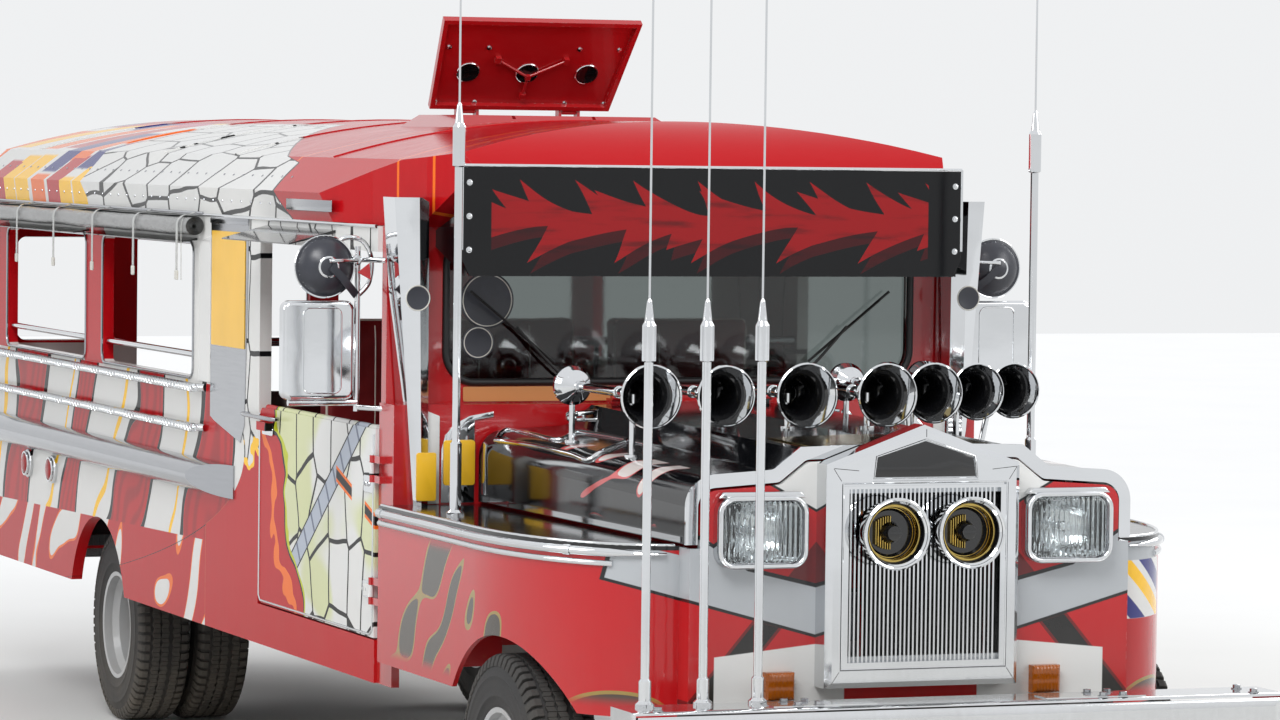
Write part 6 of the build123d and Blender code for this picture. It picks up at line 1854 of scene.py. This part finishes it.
class JEEPNEY_OT_cab_fittings(bpy.types.Operator):
    """Dials, steering wheel pad, pedals and gear lever"""
    bl_idname = "jeepney.cab_fittings"
    bl_label = "Cab fittings"

    def execute(self, context):
        rings, dials, darks, marks = [], [], [], []
        for x, z, size in ((330, 1312, 40), (420, 1322, 46), (510, 1312, 40), (-120, 1222, 34)):
            face = behind("dashboard", x, z)
            ring = [(-4, size), (5, size), (8, size - 2), (8, size - 5), (2, size - 7), (-4, size - 7)]
            rings.append(lathe("dial_ring", ring, face, (0, 1, 0), 40))
            disc = [(-3, 0), (-3, size - 6), (1, size - 6), (1.2, 0)]
            dials.append(lathe("dial_face", disc, face, (0, 1, 0), 36))
            root, rise = face + Vector((0, 0.0016, 0)), face + Vector((0, 0.003, 0))
            for k in range(11):
                angle = math.radians(225 - 27 * k)
                way = Vector((math.cos(angle), 0, math.sin(angle)))
                marks.append(bar("tick", root + way * (size - 14) / 1000, root + way * (size - 9) / 1000,
                                 0.0009, 6))
            way = Vector((math.cos(2.2), 0, math.sin(2.2)))
            marks.append(bar("needle", rise - way * 0.006, rise + way * (size - 14) / 1000, 0.0011, 6))
        for i in range(5):
            face = behind("dashboard", -20 + 46 * i, 1190)
            darks.append(lathe("knob", [(-2, 0), (-2, 9), (4, 9), (5, 12), (16, 11), (18, 8), (18, 0)], face,
                               (0, 1, 0), 18))
        # The steering column's direction, and a point on it near the wheel
        axis, centre = Vector((0, 0.89043, 0.45511)), at(420, 2170, 1230)
        hub, _ = struck(NODES["steering_wheel"], centre + axis * 0.4, -axis)
        pad = lathe("horn_pad", [(-3, 0), (-3, 44), (4, 48), (10, 44), (13, 28), (14, 0)], hub, axis, 36)
        ring = lathe("horn_ring", [(9, 30), (13.5, 30), (14.5, 26), (13.5, 22), (9, 22)], hub, axis, 36)
        for x in (300, 420, 530):
            arm = curved([at(x, 1800, 1130), at(x, 1830, 1000), at(x, 1900, 860), at(x, 1928, 800)], 5)
            tread = round_corners(x - 34, x + 34, 752, 826, 9, 3)
            darks += [pipe("pedal_arm", arm, 0.009), plate("pedal_pad", tread, 1, 1924, 1936, 0.003)]
            darks += [block("pedal_rib", x - 28, x + 28, 1935, 1938.5, z - 3, z + 3, 0.001, 1)
                      for z in (765, 780, 795, 810)]
        boot = [(0, 92), (6, 90), (14, 72), (26, 70), (34, 54), (46, 53), (56, 38), (70, 37), (84, 22),
                (96, 20), (96, 0), (0, 0)]
        darks.append(lathe("lever_boot", boot, at(120, 2120, 640), (0, 0, 1), 32))
        stick = curved([at(120, 2120, 700), at(122, 2130, 850), at(140, 2180, 980)], 6)
        lever = pipe("gear_lever", stick, 0.008)
        darks.append(lathe("lever_knob", [(0, 0), (0, 12), (10, 19), (26, 22), (38, 17), (44, 0)],
                           at(139, 2178, 974), (0.1, 0.3, 1), 24))
        fit_all("dash_chrome", [*rings, lever], "chassis", "chrome")
        fit_all("dash_dials", dials, "chassis", "black", "black_plastic")
        fit_all("dash_marks", marks, "chassis", "pale")
        fit_all("cab_darks", darks, "chassis", "plastic")
        fit(pad, "steering", "plastic")
        fit(ring, "steering", "chrome")
        return {"FINISHED"}


class JEEPNEY_OT_roof_detail(bpy.types.Operator):
    """Roof seams, eave rivets and the drip edge"""
    bl_idname = "jeepney.roof_detail"
    bl_label = "Roof detail"

    def execute(self, context):
        seams = []
        for y in (2560, 3660, 4550, 5440, 6330):
            line = [on_top("roof", x, y, 0.6) for x in range(-866, 867, 72)]
            seams.append(pipe("roof_seam", line, 0.0035, False, 2))
        fit_all("roof_seams", seams, "chassis", "roof")
        rivets = []
        outside = Vector((-0.4, 0, 0.12))
        for x, z in ((-981, 1914), (-956, 2004)):
            spot, normal = struck(NODES["roof"], at(x, 2760, z) + outside, -outside.normalized())
            dome = lathe("eave_rivet", [(-1, 0), (-1, 5), (1.2, 4.6), (2.6, 2.6), (3, 0)], spot, normal, 8)
            rivets.append(repeated(dome, 37, (0, 0.11, 0)))
        fit_pair("eave_rivets", rivets, "chassis", "stainless")
        drip = pipe("drip_edge", [at(-968, 1800, 1862), at(-968, 6790, 1862)], 0.006)
        fit_pair("drip_edge", [drip], "chassis", "chrome", "stainless")
        return {"FINISHED"}


class JEEPNEY_OT_hatch_detail(bpy.types.Operator):
    """Three flat discs with their rims, and corner bolts under the roof hatch"""
    bl_idname = "jeepney.hatch_detail"
    bl_label = "Hatch detail"

    def execute(self, context):
        # The lid stands open at rest: its underside faces this way
        under = Vector((0, -0.777, -0.629))
        along = Vector((0, -0.629, 0.777))
        foot = at(0, 3229, 2275)
        discs, chrome = [], []
        for x in (-212, -3, 208):
            centre = foot + Vector((x / 1000, 0, 0)) + along * 0.096
            place, _ = struck(NODES["roof_hatch"], centre + under * 0.1, -under)
            discs.append(bead_disc("hatch_disc", place, 38, 4.0, under, 36))
            rim = [(-0.5, 39), (3, 40.5), (5, 39), (4, 37), (-0.5, 36.5)]
            chrome.append(lathe("hatch_disc_rim", rim, place, under, 40))
        for x in (-300, -160, 160, 300):
            for up in (-0.03, 0.2):
                start = foot + Vector((x / 1000, 0, 0)) + along * up
                hit, place, _, _ = NODES["roof_hatch"].ray_cast(start + under * 0.1, -under)
                if hit:
                    chrome.append(hex_bolt("hatch_bolt", place, under, 0.012, 0.006))
        fit_all("hatch_discs", discs, "hatch_lid", "black")
        fit_all("hatch_chrome", chrome, "hatch_lid", "chrome")
        return {"FINISHED"}


# The rear wall's outer skin stands at this y
REAR_SKIN = 6790


class JEEPNEY_OT_rear_detail(bpy.types.Operator):
    """Step tread, tail-lamp rims, grab feet, window and doorway edges, and the blank plate"""
    bl_idname = "jeepney.rear_detail"
    bl_label = "Rear detail"

    def execute(self, context):
        cleat = block("step_cleat", -748, -700, 6834, 6840, 475.5, 479.5, 0.001, 1)
        fit(repeated(repeated(cleat, 24, (0.063, 0, 0)), 8, (0, 0.02, 0)), "chassis", "stainless")
        rims = []
        rim = [(0, 56), (0, 64), (8, 64), (12, 60), (12, 54), (8, 52)]
        foot = [(0, 0), (0, 22), (3, 24), (6, 20), (8, 14), (8, 0)]
        for name, outline, x, levels, steps in (("tail_rim", rim, 800, (960, 1110), 40),
                                                ("grab_foot", foot, 400, (900, 1600), 24)):
            rims += [lathe(name, outline, at(side * x, REAR_SKIN, z), (0, 1, 0), steps)
                     for side in SIDES for z in levels]
        frame_line = round_corners(478, 852, 1308, 1722, 34, 5)
        for side in SIDES:
            edge = [(side * x, z) for x, z in frame_line]
            rims.append(pipe("rear_window_edge", flat(edge, 1, REAR_SKIN + 1), 0.0055, True, 3))
        doorway = [(-362, 650), (-362, 1752), (-330, 1790), (330, 1790), (362, 1752), (362, 650)]
        rims.append(pipe("doorway_edge", flat(doorway, 1, REAR_SKIN + 1), 0.008, False, 3))
        fit_all("rear_rims", rims, "chassis", "chrome")
        blank = round_corners(480, 800, 740, 876, 8, 3)
        fit(plate("rear_board", blank, 1, REAR_SKIN - 0.5, REAR_SKIN + 3, 0.001, 1), "chassis", "pale")
        return {"FINISHED"}


class JEEPNEY_OT_fasteners(bpy.types.Operator):
    """Bolts on top of the front bumper"""
    bl_idname = "jeepney.fasteners"
    bl_label = "Fasteners"

    def execute(self, context):
        size = sizes().bolt_head
        bolts = [hex_bolt("bumper_bolt", on_top("front_bumper", x, y), (0, 0, 1), size, 0.011)
                 for x in (420, 480, 880) for y in (-360, -260)]
        fit_pair("bumper_bolts", bolts, "chassis", "stainless", "chrome")
        return {"FINISHED"}


OPERATORS = [JEEPNEY_OT_stage, JEEPNEY_OT_paint, JEEPNEY_OT_tyres, JEEPNEY_OT_wheel_nuts,
             JEEPNEY_OT_hood_trim, JEEPNEY_OT_horn_detail, JEEPNEY_OT_fender_trim,
             JEEPNEY_OT_grille_detail, JEEPNEY_OT_headlamp_detail, JEEPNEY_OT_screen_trim,
             JEEPNEY_OT_side_trim, JEEPNEY_OT_door_trim, JEEPNEY_OT_mirror_trim, JEEPNEY_OT_curtains,
             JEEPNEY_OT_cab_seats, JEEPNEY_OT_bench_seats, JEEPNEY_OT_cab_fittings, JEEPNEY_OT_roof_detail,
             JEEPNEY_OT_hatch_detail, JEEPNEY_OT_rear_detail, JEEPNEY_OT_fasteners]


class JEEPNEY_PT_panel(bpy.types.Panel):
    """Lists the jeepney's pieces"""
    bl_idname = "JEEPNEY_PT_panel"
    bl_label = "Jeepney"
    bl_space_type = "VIEW_3D"
    bl_region_type = "UI"
    bl_category = "Jeepney"

    def draw(self, context):
        for made in OPERATORS:
            self.layout.operator(made.bl_idname)
        for group in (context.scene.jeepney_colours, context.scene.jeepney_sizes):
            box = self.layout.box()
            for name in group.__annotations__:
                box.prop(group, name)


CLASSES = [JeepneyColours, JeepneySizes, *OPERATORS, JEEPNEY_PT_panel]


def register():
    for made in CLASSES:
        bpy.utils.register_class(made)
    bpy.types.Scene.jeepney_colours = PointerProperty(type=JeepneyColours)
    bpy.types.Scene.jeepney_sizes = PointerProperty(type=JeepneySizes)


def unregister():
    del bpy.types.Scene.jeepney_sizes
    del bpy.types.Scene.jeepney_colours
    for made in reversed(CLASSES):
        bpy.utils.unregister_class(made)


def main():
    register()
    for made in OPERATORS:
        family, call = made.bl_idname.split(".")
        getattr(getattr(bpy.ops, family), call)()
    clear_selection()


if __name__ == "__main__":
    main()
